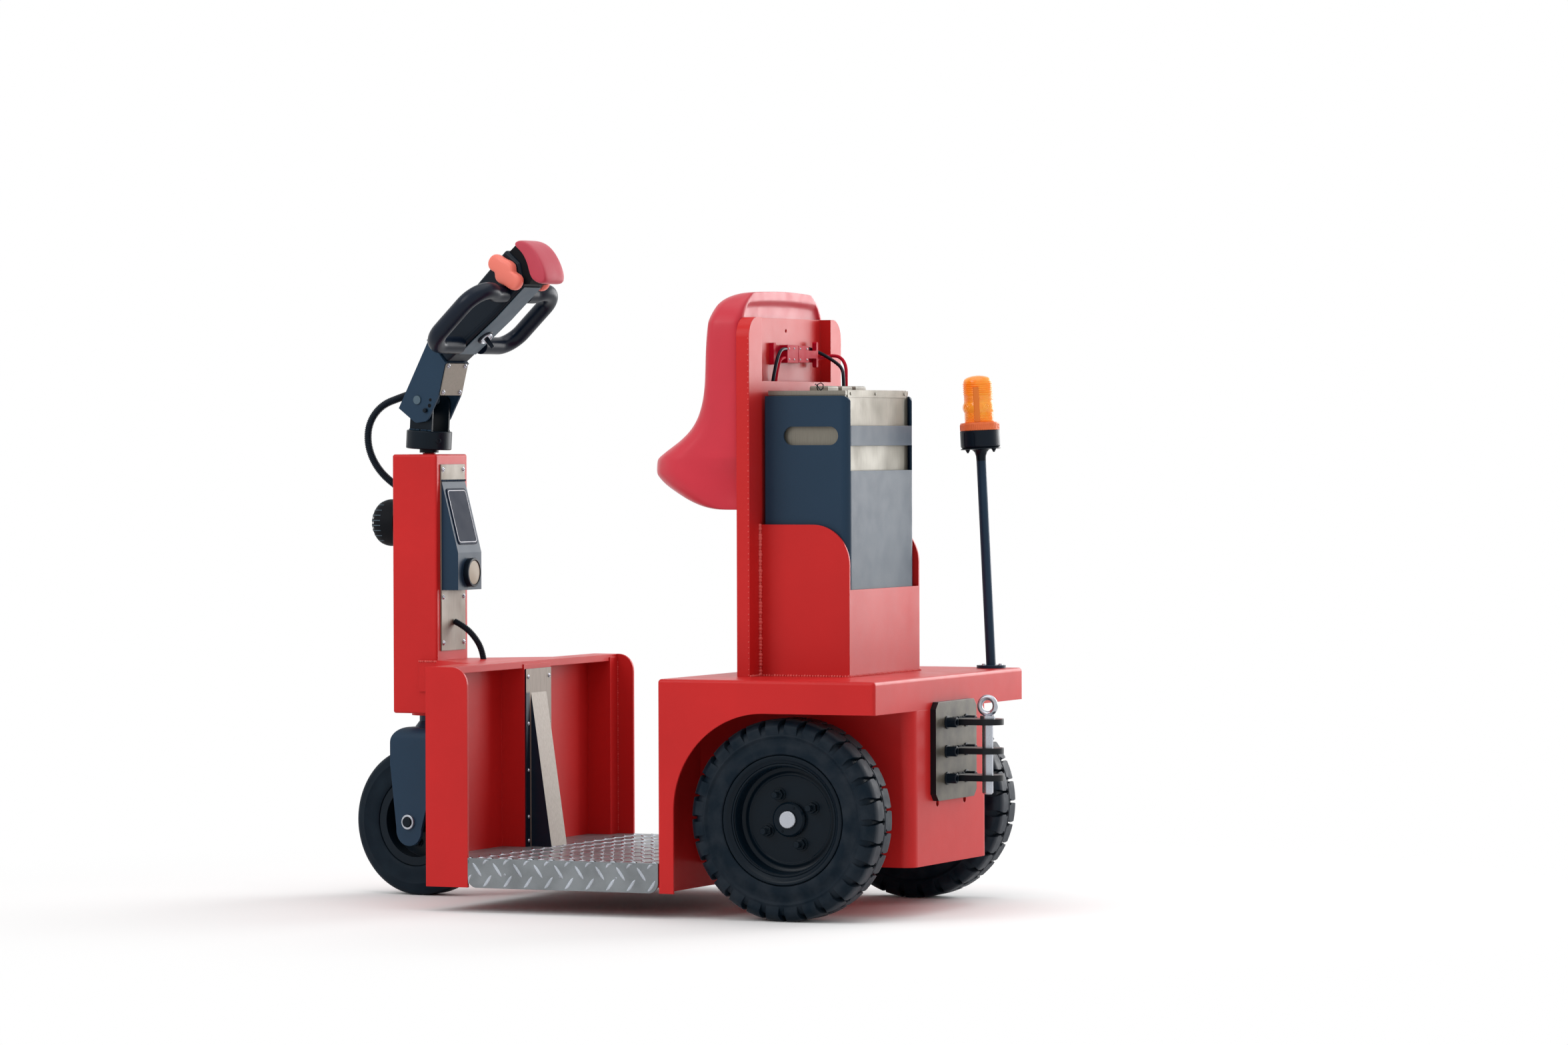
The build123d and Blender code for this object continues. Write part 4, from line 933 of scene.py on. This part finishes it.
def add_front_wheel():
    """Smooth tyre of the steered wheel, with its two moulded rings, and nuts on the rim."""
    half = (
        (80, 32), (93.5, 32), (93.5, 38.4), (95.5, 40.2), (101, 41.6), (112, 42), (126, 41.6), (128, 42.3),
        (129.5, 42.6), (131, 42.3), (133, 41.4), (141, 40.6), (146, 38.8), (150.2, 35.4), (153, 31),
        (154, 26), (154, 9), (153.2, 8.2), (153.2, 6.8), (154, 6),
    )
    section = list(half) + [(r, -y) for r, y in reversed(half)]
    placing = STEERED @ Matrix.Translation((FRONT_AXLE_X, 0, FRONT_RADIUS))
    tyre = moved(lathe(section, 128, closed=True), Matrix.Rotation(math.radians(90), 4, "X"))
    piece = show("smooth_tyre", tyre, "front_wheel", "tyre", "front_rubber", placing, smooth=32)
    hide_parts("front_tyre")
    spots, ends = [], []
    for side in (-1, 1):
        ends.append(((0, side * FORK_OUTER, 0), (0, side, 0)))
        for degrees in range(0, 360, 72):
            x, z = on_circle(48, degrees)
            spots.append(((x, side * 5, z), (0, side, 0)))
    nuts = copies(nut_and_stud(8, 7, 12), spots)
    show("front_wheel_nuts", nuts, "front_wheel", "black_metal", placing=placing)
    ring = lathe(((15.4, 0), (15.4, 5.2), (14.6, 5.8), (11.2, 5.8), (10.9, 4.9)), 32)
    show("axle_rings", copies(ring, ends), "steering", "zinc", placing=placing)


# Seat

# Outline of the seat from the side: height, how far its front stands before the pedestal, and
# the radius of its upright corners
SEAT_PROFILE = (
    (808, 30, 16), (807, 68, 34), (811, 100, 50), (821, 134, 66), (837, 166, 78), (855, 196, 86),
    (868, 212, 92), (877, 220, 94), (883, 222, 94), (905, 221, 94), (911, 217, 92), (920, 204, 88),
    (932, 184, 80), (946, 160, 70), (964, 136, 60), (986, 117, 50), (1014, 103, 40), (1045, 95, 34),
    (1080, 92, 31), (1115, 91, 30), (1150, 89, 30), (1183, 86, 30), (1190, 85, 30), (1206, 80, 30),
    (1220, 74, 29), (1227, 70, 28), (1236, 61, 26), (1243, 47, 22), (1247, 30, 16), (1248.4, 12, 8),
)
SEAT_RECESS = 9.0


def seat_ring(z, depth, corner):
    """Level slice of the seat: recessed back, round corners, a crowned front."""
    over = max(0.0, z - (SEAT_TOP - SEAT_CORNER))
    half = SEAT_HALF_WIDTH - SEAT_CORNER + math.sqrt(max(0.0, SEAT_CORNER ** 2 - over ** 2))
    half -= 10 * max(0.0, (870 - z) / 62) ** 2
    corner = min(corner, depth * 0.9)
    roll = min(14.0, depth * 0.3)
    inset = SEAT_RECESS if 1186 < z < 1224 else 0.0
    scoop = 16.0 * max(0.0, 1 - ((z - 862) / 48) ** 2)
    side = []
    for t in (0.8, 0.55, 0.3, 0.12):
        side.append((depth, (half - corner) * (1 - t)))
    for k in range(9):
        turn = math.pi / 2 * k / 8
        side.append((depth - corner + corner * math.cos(turn), half - corner + corner * math.sin(turn)))
    side.append(((depth - corner + roll) / 2, half))
    for k in range(4):
        turn = math.pi / 2 * (1 + k / 3)
        side.append((roll + roll * math.cos(turn), half - roll + roll * math.sin(turn)))
    side += [(0.0, half - 22), (inset, half - 26), (inset, (half - 26) * 0.5)]
    side = [(x, y - scoop * max(0.0, 1 - x / 90)) for x, y in side]
    ring = [(depth, 0.0)] + side + [(inset, 0.0)] + [(x, -y) for x, y in reversed(side)]
    bowed = []
    for x, y in ring:
        share = (x / depth) ** 2
        fall = 6.0 * share * (y / SEAT_HALF_WIDTH) ** 2
        bowed.append(Vector((SEAT_BACK + x - fall, y, z)))
    return bowed


def add_seat():
    """Moulded perch seat: one skin over a tall back that runs out into a rounded nose."""
    rings = [seat_ring(*level) for level in SEAT_PROFILE]
    points = [p for ring in rings for p in ring]
    for point in points:
        arch = max(0.0, (point.z - 1150) / 98)
        point.z -= 10 * arch * (point.y / SEAT_HALF_WIDTH) ** 2
    shape = points, skin(len(rings), len(rings[0]))
    seat = show("seat_pad", shape, "chassis", "seat_red", smooth=180)
    smoothed(seat, 2)
    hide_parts("seat")


# Chequer plate

# Outline of one bar, and how far bars stand apart along the tug and across it
BAR = (
    (-18, 0), (-13, 2.3), (-6, 3.4), (6, 3.4), (13, 2.3), (18, 0), (13, -2.3), (6, -3.4), (-6, -3.4),
    (-13, -2.3),
)
BAR_COLUMN = 45.6
BAR_ROW = 24.0


def chequer_field(x_low, x_high, y_low, y_high, rise, turn=54.0):
    """Raised bars of both leans over a flat field, cut off at its edges."""
    bars = []
    faces = skin(2, len(BAR))
    faces = [faces[-1]] + faces[:-2]
    for row in range(int((y_high - y_low) / BAR_ROW) + 2):
        lean = math.radians(turn if row % 2 else -turn)
        for column in range(int((x_high - x_low) / BAR_COLUMN) + 2):
            middle_x = x_low + 8 + column * BAR_COLUMN + (BAR_COLUMN / 2 if row % 2 else 0.0)
            middle_y = y_low + 10 + row * BAR_ROW
            points = []
            for share, z in ((1.0, -0.2), (0.62, rise)):
                for along, across in BAR:
                    x = middle_x + share * (along * math.cos(lean) - across * math.sin(lean))
                    y = middle_y + share * (along * math.sin(lean) + across * math.cos(lean))
                    points.append(Vector((min(max(x, x_low), x_high), min(max(y, y_low), y_high), z)))
            reach_x = max(p.x for p in points) - min(p.x for p in points)
            reach_y = max(p.y for p in points) - min(p.y for p in points)
            if reach_x > 4 and reach_y > 4:
                bars.append((points, faces))
    return joined(bars)


def add_chequer():
    """Raised bars on the platform's top and skirts, painted lighter as a highlight, and the skirt's
    screws.
    """
    low, high = PLATFORM_REAR + 1.5, PLATFORM_FRONT - 1.5
    top = chequer_field(low, high, 3 - HALF_WIDTH, HALF_WIDTH - 3, 1.5)
    top = moved(top, Matrix.Translation((0, 0, PLATFORM_TOP)))
    # Bars in a lighter finish than the plate: a painted highlight
    show("chequer_top", top, "chassis", "chequer_plate", "chequer_bar_highlight", smooth=15)
    for name, side in (("left", 1), ("right", -1)):
        points, faces = chequer_field(low + 4, high, 53.0, PLATFORM_TOP - 2.5, 0.9)
        points = [Vector((p.x, side * (HALF_WIDTH + p.z), p.y)) for p in points]
        if side > 0:
            faces = [tuple(reversed(face)) for face in faces]
        skirt = points, faces
        show("chequer_skirt_" + name, skirt, "chassis", "chequer_plate", "chequer_bar_highlight", smooth=15)
        spots = [((x, side * (HALF_WIDTH - 1.3), 77.8), (0, side, 0)) for x in (353.7, 477.4, 600.8)]
        show("skirt_screws_" + name, copies(dome_screw(4.6), spots, 0.6), "chassis", "zinc")


# Small fittings

def add_column_fittings():
    """Screws of the cover, gauge, border of the screen, weld of its housing and horn strap."""
    face = COLUMN_REAR - 3
    spots = [((face, y, z), BACKWARD) for z in (887, 622, 527) for y in (-46, 46)]
    show("cover_screws", copies(dome_screw(4.2), spots), "chassis", "zinc")
    gauge = pointing((face - HOUSING_DEPTH - 10, 0, 673), BACKWARD)
    bezel = lathe(((30.6, -3), (30.6, 0.4), (29.6, 1.8), (26.4, 2.0), (25, 0.2), (24.6, -1.2)), 48)
    without_ends = bezel[0], bezel[1][:-2]
    show("gauge_bezel", moved(without_ends, gauge), "chassis", "black_plastic")
    dial = lathe(((24.8, -0.2), (24.8, 0.3), (22, 0.7), (0.05, 1.0)), 48)
    show("gauge_face", moved(dial, gauge), "chassis", "screen", "dial_face")
    lean = math.atan2(HOUSING_DEPTH, HOUSING_FALL)
    middle = Matrix.Translation((face - HOUSING_DEPTH / 2, 0, 789.5)) @ Matrix.Rotation(lean, 4, "Y")
    on_face = middle @ Matrix.Translation((-2.0, 0, 0)) @ Matrix.Rotation(math.radians(-90), 4, "Y")
    band = border(rounded_rectangle(112, 82, 8), rounded_rectangle(108.4, 78.4, 6.4), -0.4, 0.35)
    show("screen_border", moved(band, on_face), "chassis", "screen", "white_print")
    seam = weld((face - 1, -53, 864.5), (face - 1, 53, 864.5), 1.8)
    show("housing_weld", seam, "chassis", "dark_paint")
    strap = prism(rounded_rectangle(26, 16, 3), 0, 2.5)
    strap = moved(strap, Matrix.Translation((COLUMN_FRONT + 12, 0, 722)))
    bolt = moved(hex_screw(4.5), pointing((COLUMN_FRONT + 18, 0, 724.5), UPWARD))
    show("horn_strap", joined([strap, bolt]), "chassis", "zinc")


def horn_rib(held, level, lift):
    """Rib over the horn's dome, level or upright, at a distance from its middle."""
    across = math.sqrt(HORN_RADIUS ** 2 - held ** 2)
    line = []
    for step in range(17):
        free = across * math.sin(math.pi * (step / 16 - 0.5)) * 0.998
        fall = max(0.0, 1 - (free * free + held * held) / HORN_RADIUS ** 2)
        y, z = (free, held) if level else (held, free)
        line.append((HORN_RIM + HORN_REACH * math.sqrt(fall) - lift, y, HORN_Z + z))
    return tube(line, 0.9, 6)


def add_horn_slats():
    """Fine level ribs over the horn's dome, and two upright ones, coloured lighter grey than the horn as a
    painted highlight.
    """
    ribs = [horn_rib((k + 0.5) * 10.6, True, 0.4) for k in range(-4, 4)]
    ribs += [horn_rib(y, False, 0.6) for y in (-16, 16)]
    # The ribs are lighter grey than the horn: a painted highlight along them
    show("horn_slats", joined(ribs), "chassis", "black_plastic", "panel_grey")


def add_wedge_screws():
    """Screws of the duct cover on the middle post."""
    spots = [((DUCT_FACE, y, z), BACKWARD) for y in (-48, 48) for z in (459.5, 363, 267, 171, 122)]
    show("duct_screws", copies(dome_screw(3.6), spots), "chassis", "zinc")


# Heights of the seams of the hitch's ears. Seams of the body in its middle or on one side, and
# those on both sides: first end, last end, size and step of the beads
EAR_SEAMS = (276, 264, 330, 318, 388, 376)
SINGLE_SEAMS = (
    ((132.6, -228, 476), (132.6, 228, 476), 2.6, 6),
    ((-60, 181.5, 476), (130, 181.5, 476), 2.6, 6),
    ((-63.5, -178, 476), (-63.5, 178, 476), 2.6, 6),
    ((135.5, 230, 478), (135.5, 230, 1150), 1.3, 11),
)
PAIRED_SEAMS = (
    ((131.5, 182.5, 478), (131.5, 182.5, 776), 4.4, 6.5),
    ((779, 183, 470), (779, 183, 430), 2.2, 4),
    ((915, 77, 490), (955, 77, 490), 2.0, 4),
    ((776, 64, 118), (776, 64, 474), 2.6, 5),
    ((776, 350, 118), (776, 350, 474), 2.6, 5),
    ((721, 384, 118), (721, 384, 474), 2.2, 5),
)


def add_welds():
    """Weld beads of the chassis and of the clevis."""
    ears = [weld((HITCH_FACE, -32, z), (HITCH_FACE, 32, z), 3.4, 4.5) for z in EAR_SEAMS]
    show("hitch_welds", joined(ears), "chassis", "hitch_paint", "black_metal")
    seams = [weld(*seam) for seam in SINGLE_SEAMS]
    for first, last, radius, step in PAIRED_SEAMS:
        for side in (1, -1):
            start_end = [(x, side * y, z) for x, y, z in (first, last)]
            seams.append(weld(*start_end, radius, step))
    # The body welds take the lighter red of a painted highlight on the beads
    show("body_welds", joined(seams), "chassis", "red_paint", "weld_highlight_red")
    cheeks = []
    for x in (STEER_X - 26, STEER_X + 4):
        for y in (-32.5, 32.5):
            cheeks.append(weld((x, y, 969.5), (x + 22, y, 969.5), 2.2, 3.5))
    show("clevis_welds", joined(cheeks), "steering", "dark_paint", placing=COLLAR)


def add_hitch_bolts():
    """Six socket bolts beside the roots of the ears."""
    spots = [((-217, y, z), BACKWARD) for z in (270, 324, 382) for y in (-50, 50)]
    show("hitch_bolts", copies(socket_bolt(10, 22), spots), "chassis", "black_metal")


def add_lid_fittings():
    """Folded strip with rivets along the lid's rear, and a wire tie."""
    rear, height = -45.5, 1039.0
    strip = prism(rounded_rectangle(15, 300, 1.2, 2), -1.0, 0.0)
    standing = Matrix.Translation((rear, 0, height)) @ Matrix.Rotation(math.radians(90), 4, "Y")
    rivet = lathe(((3.4, 0), (3, 1.2), (0.05, 1.8)), 14)
    rivets = copies(rivet, [((rear - 1, y, height), BACKWARD) for y in (-140, 10, 135)])
    show("lid_strip", joined([moved(strip, standing), rivets]), "chassis", "case_metal")
    tie = (
        (30, 122, 1045.4), (30, 128, 1052), (26, 133, 1058), (20, 131, 1061), (17, 126, 1057),
        (20, 121, 1050), (26, 119, 1046),
    )
    tail = ((26, 119, 1046), (34, 116, 1055), (40, 114, 1059))
    show("wire_tie", joined([tube(tie, 1.1, 8), tube(tail, 1.1, 8)]), "chassis", "black_plastic")


def add_plug_fittings():
    """Screws on the halves of the battery plug."""
    spots = [((PLUG_FACE, y, z), BACKWARD) for y in (26, 2, -28, -62) for z in (1110, 1132)]
    show("plug_screws", copies(dome_screw(2.2), spots, 0.8), "chassis", "zinc")


def beacon_lens():
    """Lens about the pole: fine rings, smooth waist, coarse rings, domed cap."""
    profile = [(28, 500), (30, 508.5)]
    z = 509.0
    while z < 526:
        profile += [(LENS_RADIUS, z), (LENS_RADIUS - 1, z + 1.2)]
        z += 2.4
    profile += [(30, 528), (31.6, 531), (32, 536), (32, 541), (31.6, 546), (30, 549)]
    z = 551.0
    while z < 564:
        profile += [(30.4, z), (29.5, z + 1.2)]
        z += 2.4
    while z < 589:
        profile += [(31.0, z), (30.8, z + 2), (29, z + 2.8)]
        z += 4.2
    profile += [(29.6, 590), (29.2, 593), (27, 597), (21, 600.6), (13, 603), (5, 604), (0.05, 604.2)]
    return lathe(profile, 72)


def add_beacon_details():
    """Lens, ribs and eyes, the plate and nuts under the base, and the painted shade of its screw pockets.
    """
    low = BASE_LOW
    lens = show("amber_lens", beacon_lens(), "chassis", "amber", placing=BEACON, smooth=40)
    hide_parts("beacon_lens")
    plate_disc = lathe(((41, low - 2.2), (41, low), (38, low + 0.2)), 48)
    flare = lathe(((10.1, low - 26), (10.6, low - 16), (13, low - 8), (18, low - 3), (22, low - 2)), 32)
    nuts = copies(nut_and_stud(4, 3.5, 7), [((x, 0, low - 2), (0, 0, -1)) for x in (-29, 29)])
    flange = joined([plate_disc, flare, nuts])
    show("beacon_flange", flange, "chassis", "black_metal", placing=BEACON)
    spots = [((*on_circle(37, a), low + 18), (*on_circle(1, a), 0)) for a in (78, 258)]
    blocks = copies(prism(rounded_rectangle(27, 30, 2.5, 3), -6, 2.6), spots)
    show("beacon_blocks", blocks, "chassis", "black_plastic", placing=BEACON)
    # The screw pockets are thin deep black plates on the blocks: painted shade where the pockets would be
    # recessed
    pockets = copies(prism(rounded_rectangle(7, 21, 3.4, 4), 2.2, 2.9), spots)
    show("beacon_pocket_shade", pockets, "chassis", "black_plastic", "deep_black", placing=BEACON)
    foot = [lathe(((38, 490), (40.4, 490.6), (40.4, 503), (39.4, 506.6), (31, 507.4), (29, 507.6)), 60)]
    rib = prism(rounded_rectangle(1.4, 1.8, 0.6, 2), 491.5, 503)
    for k in range(60):
        spin = Matrix.Rotation(2 * math.pi * k / 60, 4, "Z")
        foot.append(moved(rib, spin @ Matrix.Translation((40.2, 0, 0))))
    show("beacon_foot", joined(foot), "chassis", "amber", "amber_foot", BEACON)
    eye = lathe(((10, -2), (9.5, 1.0), (7, 1.6), (6.2, 1.0), (4.2, 2.4), (3.4, 1.8), (0.05, 2.6)), 24)
    spots = [((*on_circle(LENS_RADIUS, a), 538.5), (*on_circle(1, a), 0)) for a in (142, 60, 0, 236, 300)]
    show("beacon_eyes", copies(eye, spots), "chassis", "amber", placing=BEACON)
    strip = prism(rounded_rectangle(3.0, 12, 1.4, 3), 508, 580)
    ribs = []
    for degrees in (104, 284):
        spin = Matrix.Rotation(math.radians(degrees), 4, "Z")
        ribs.append(moved(strip, spin @ Matrix.Translation((31.2, 0, 0))))
    show("beacon_ribs", joined(ribs), "chassis", "amber", "amber_deep", BEACON)
    spots = []
    for x, y in ((-20, 0), (10, 17), (10, -17)):
        spots.append(((BEACON_X + x, BEACON_Y + y, DECK_TOP + 6), UPWARD))
    show("pole_bolts", copies(hex_screw(4, 3.4), spots), "chassis", "zinc")


def head_point(s, y, n):
    """Point of the tiller head: along it, across, and out of its upper face."""
    rise = math.radians(HEAD_RISE)
    x = HEAD_X - s * math.cos(rise) + n * math.sin(rise)
    z = HEAD_Z + s * math.sin(rise) + n * math.cos(rise)
    return Vector((x, y, z))


def head_way(s, y, n):
    """Direction in the tiller head's own ways."""
    return head_point(s, y, n) - head_point(0, 0, 0)


def head_plate(outline, half_low, half_high):
    """Plate whose outline is given along the head and out of it, from one y to another."""
    points = [head_point(s, y, n) for y in (half_low, half_high) for s, n in outline]
    return points, skin(2, len(outline), inward=True)


# Side of the safety pad round the head's end: along the head and out of it
PAD_SIDE = (
    (247, 49), (252.5, 30), (251, 7), (243.5, -14), (231, -36), (238, -56), (251, -67), (262, -60),
    (271, -43), (277.5, -20), (280, 3), (277, 24), (268, 41), (257, 50),
)
# Slices of the pad and of a knob: place across, and share of the outline
PAD_LEVELS = (
    (-36, 0.86), (-35.4, 0.93), (-31, 0.985), (-20, 1.0), (0, 1.0), (20, 1.0), (31, 0.985),
    (35.4, 0.93), (36, 0.86),
)
KNOB_LEVELS = ((0.0, 0.9), (1.5, 0.97), (5, 1.0), (14, 1.0), (19, 0.93), (21, 0.8))
# Half the outline of a knob: one wing and one flank of the hub
KNOB_WING = (
    (16, -15), (20, -22), (23, -31), (20, -41), (11, -47), (0, -48), (-9, -44), (-14, -35), (-16, -25),
    (-21, -16), (-25, -8), (-26.5, 0), (-24, 8),
)
# Plates of the head, along it and out of it
HEAD_GASKET = (
    (224, 44), (250, 43), (255, 30), (253, 7), (245, -14), (236, -34), (222, -40), (208, -29), (231, 6),
)
HEAD_PANEL = ((-8, -24.6), (108, -33.4), (206, -35.2), (206, -33.6), (108, -31.8), (-8, -23))
HEAD_CAP = (
    (-30, 36), (20, 37), (200, 40), (214, 6), (196, -24), (118, -22), (0, -10), (-30, -10),
)


def add_safety_pad():
    """Soft red pad round the end of the head, its rims drawn in and rounded."""
    middle_s = sum(s for s, _ in PAD_SIDE) / len(PAD_SIDE)
    middle_n = sum(n for _, n in PAD_SIDE) / len(PAD_SIDE)
    points = []
    for y, share in PAD_LEVELS:
        for s, n in PAD_SIDE:
            along, over = (s - middle_s) * share, (n - middle_n) * share
            points.append(head_point(middle_s + along, y, middle_n + over))
    shape = points, skin(len(PAD_LEVELS), len(PAD_SIDE), inward=True)
    pad = show("safety_pad", shape, "tiller", "button_red", placing=STEERED, smooth=180)
    smoothed(pad, 2)
    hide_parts("belly_button")


def add_knobs():
    """Butterfly knobs beside the head: a round hub with two broad wings."""
    ring = []
    for turn in (1, -1):
        ring += [(turn * x, turn * y) for x, y in KNOB_WING]
    low = HEAD_HALF_WIDTH + 0.4
    for name, side in (("left", 1), ("right", -1)):
        points = []
        for depth, share in KNOB_LEVELS:
            for along, over in ring:
                s, n = KNOB_ALONG + along * share, KNOB_OUT + over * share
                points.append(head_point(s, side * (low + depth), n))
        faces = skin(len(KNOB_LEVELS), len(ring), inward=True)
        if side < 0:
            # Only the wall of the mirrored knob is turned to look outwards. Its two ends look
            # inwards, a fault that leaves their rims sharp where the left knob's are round.
            faces = [tuple(reversed(face)) for face in faces[:-2]] + faces[-2:]
        knob = show("knob_" + name, (points, faces), "tiller", "knob_coral", placing=STEERED, smooth=40)
        smoothed(knob, 1)
        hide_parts("throttle_" + name)


def add_tiller_details():
    """Gasket, side caps, underside panel, key switch, flange and screws of the head and arm."""
    gasket = head_plate(HEAD_GASKET, -32, 32)
    show("head_gasket", gasket, "tiller", "black_plastic", "deep_black", STEERED)
    panel = head_plate(HEAD_PANEL, -29, 29)
    show("head_panel", panel, "tiller", "dark_paint", "panel_grey", STEERED)
    lock = head_point(49, 0, -29)
    down = head_way(0, 0, -1)
    ring = lathe(((14.5, -6), (14.5, 5), (13.5, 6.5), (11.5, 6.8), (10.6, 5.4), (0.05, 5.2)), 32)
    show("key_ring", moved(ring, pointing(lock, down)), "tiller", "zinc", placing=STEERED)
    collar = lathe(((18, -4), (18, 1.6), (16.5, 3), (14.6, 3.2)), 32)
    lever = prism(rounded_rectangle(6, 13, 2.6, 3), 4, 29, shrink=0.35)
    key = moved(joined([collar, lever]), pointing(lock, down, turn=20))
    show("key_switch", key, "tiller", "black_plastic", placing=STEERED)
    flange = head_plate(((-44, -21), (-44, 48), (-40.5, 48), (-40.5, -21)), -41, 41)
    show("head_flange", flange, "tiller", "dark_paint", placing=STEERED)
    spots = [(head_point(-44, y, -15), head_way(-1, 0, 0)) for y in (-30, -12, 12, 30)]
    flange_screws = copies(dome_screw(3), spots)
    foot, top = Vector((916, 0, 1040)), head_point(-40.3, 0, -18)
    along = (top - foot).normalized()
    out = Vector((-along.z, 0, along.x))
    spots = []
    for share in (0.12, 0.9):
        for y in (-29, 29):
            spots.append((foot.lerp(top, share) + out * 2.4 + Vector((0, y, 0)), out))
    screws = joined([flange_screws, copies(dome_screw(4), spots)])
    show("arm_screws", screws, "tiller", "zinc", placing=STEERED)
    # A thin deep black strip on the arm cover: painted shade standing in for the gap near its top
    gap = prism(rounded_rectangle(66, 1.6, 0.5, 2), 1.6, 2.7)
    gap = moved(gap, pointing(foot.lerp(top, 0.985), out))
    show("arm_gap_shade", gap, "tiller", "dark_paint", "deep_black", STEERED)
    marks, stops = [], []
    stop = lathe(((4.5, 0), (4.5, 6), (3.8, 7), (0.05, 7.2)), 16)
    for side in (-1, 1):
        way = (0, side, 0)
        stops.append(moved(stop, pointing((948, side * ARM_HALF_WIDTH, 1010), way)))
        # Each hole is a flat deep black disc on the arm: painted shade where a hole is
        for x, z, r in ((937, 1032, 3.4), (939, 1020, 4.2)):
            hole = lathe(((r, -0.5), (r, 0.15), (0.05, 0.2)), 16)
            marks.append(moved(hole, pointing((x, side * ARM_HALF_WIDTH, z), way)))
    show("arm_hole_shade", joined(marks), "tiller", "dark_paint", "deep_black", STEERED)
    show("arm_stops", joined(stops), "tiller", "black_metal", placing=STEERED)
    for name, side in (("left", 1), ("right", -1)):
        cap = head_plate(HEAD_CAP, side * 37.6, side * 38.3)
        show("head_cap_" + name, cap, "tiller", "black_plastic", placing=STEERED)


def add_collar_screw():
    """Three socket screws in the clamp collar."""
    screw = lathe(((6, 0), (6, 1.0), (5.4, 1.4), (3.4, 1.4), (3.2, -1), (0.05, -1.1)), 18)
    spots = []
    for degrees in (150, 240, 330):
        x, y = on_circle(47, degrees)
        spots.append(((STEER_X + x, y, COLLAR_Z), (*on_circle(1, degrees), 0)))
    show("collar_screws", copies(screw, spots), "steering", "black_metal", placing=COLLAR)


add_camera()
add_cords()
add_world()
add_floor()
centre = (0, 0, 0.55)
area_light("rear_fill", (-1.7, -3.6, 1.55), centre, 3.2, 2.3, 125)
area_light("key", (2.5, 4.5, 3.6), centre, 3.0, 3.0, 100)
area_light("top", (-0.5, 0.5, 4.2), centre, 3.5, 3.5, 60)

finish_cad_nodes()
add_rear_wheels()
add_front_wheel()
add_seat()
add_chequer()
add_column_fittings()
add_wedge_screws()
add_welds()
add_hitch_bolts()
add_lid_fittings()
add_plug_fittings()
add_beacon_details()
add_tiller_details()
add_safety_pad()
add_knobs()
add_horn_slats()
add_collar_screw()

bpy.context.scene.view_settings.view_transform = "Standard"
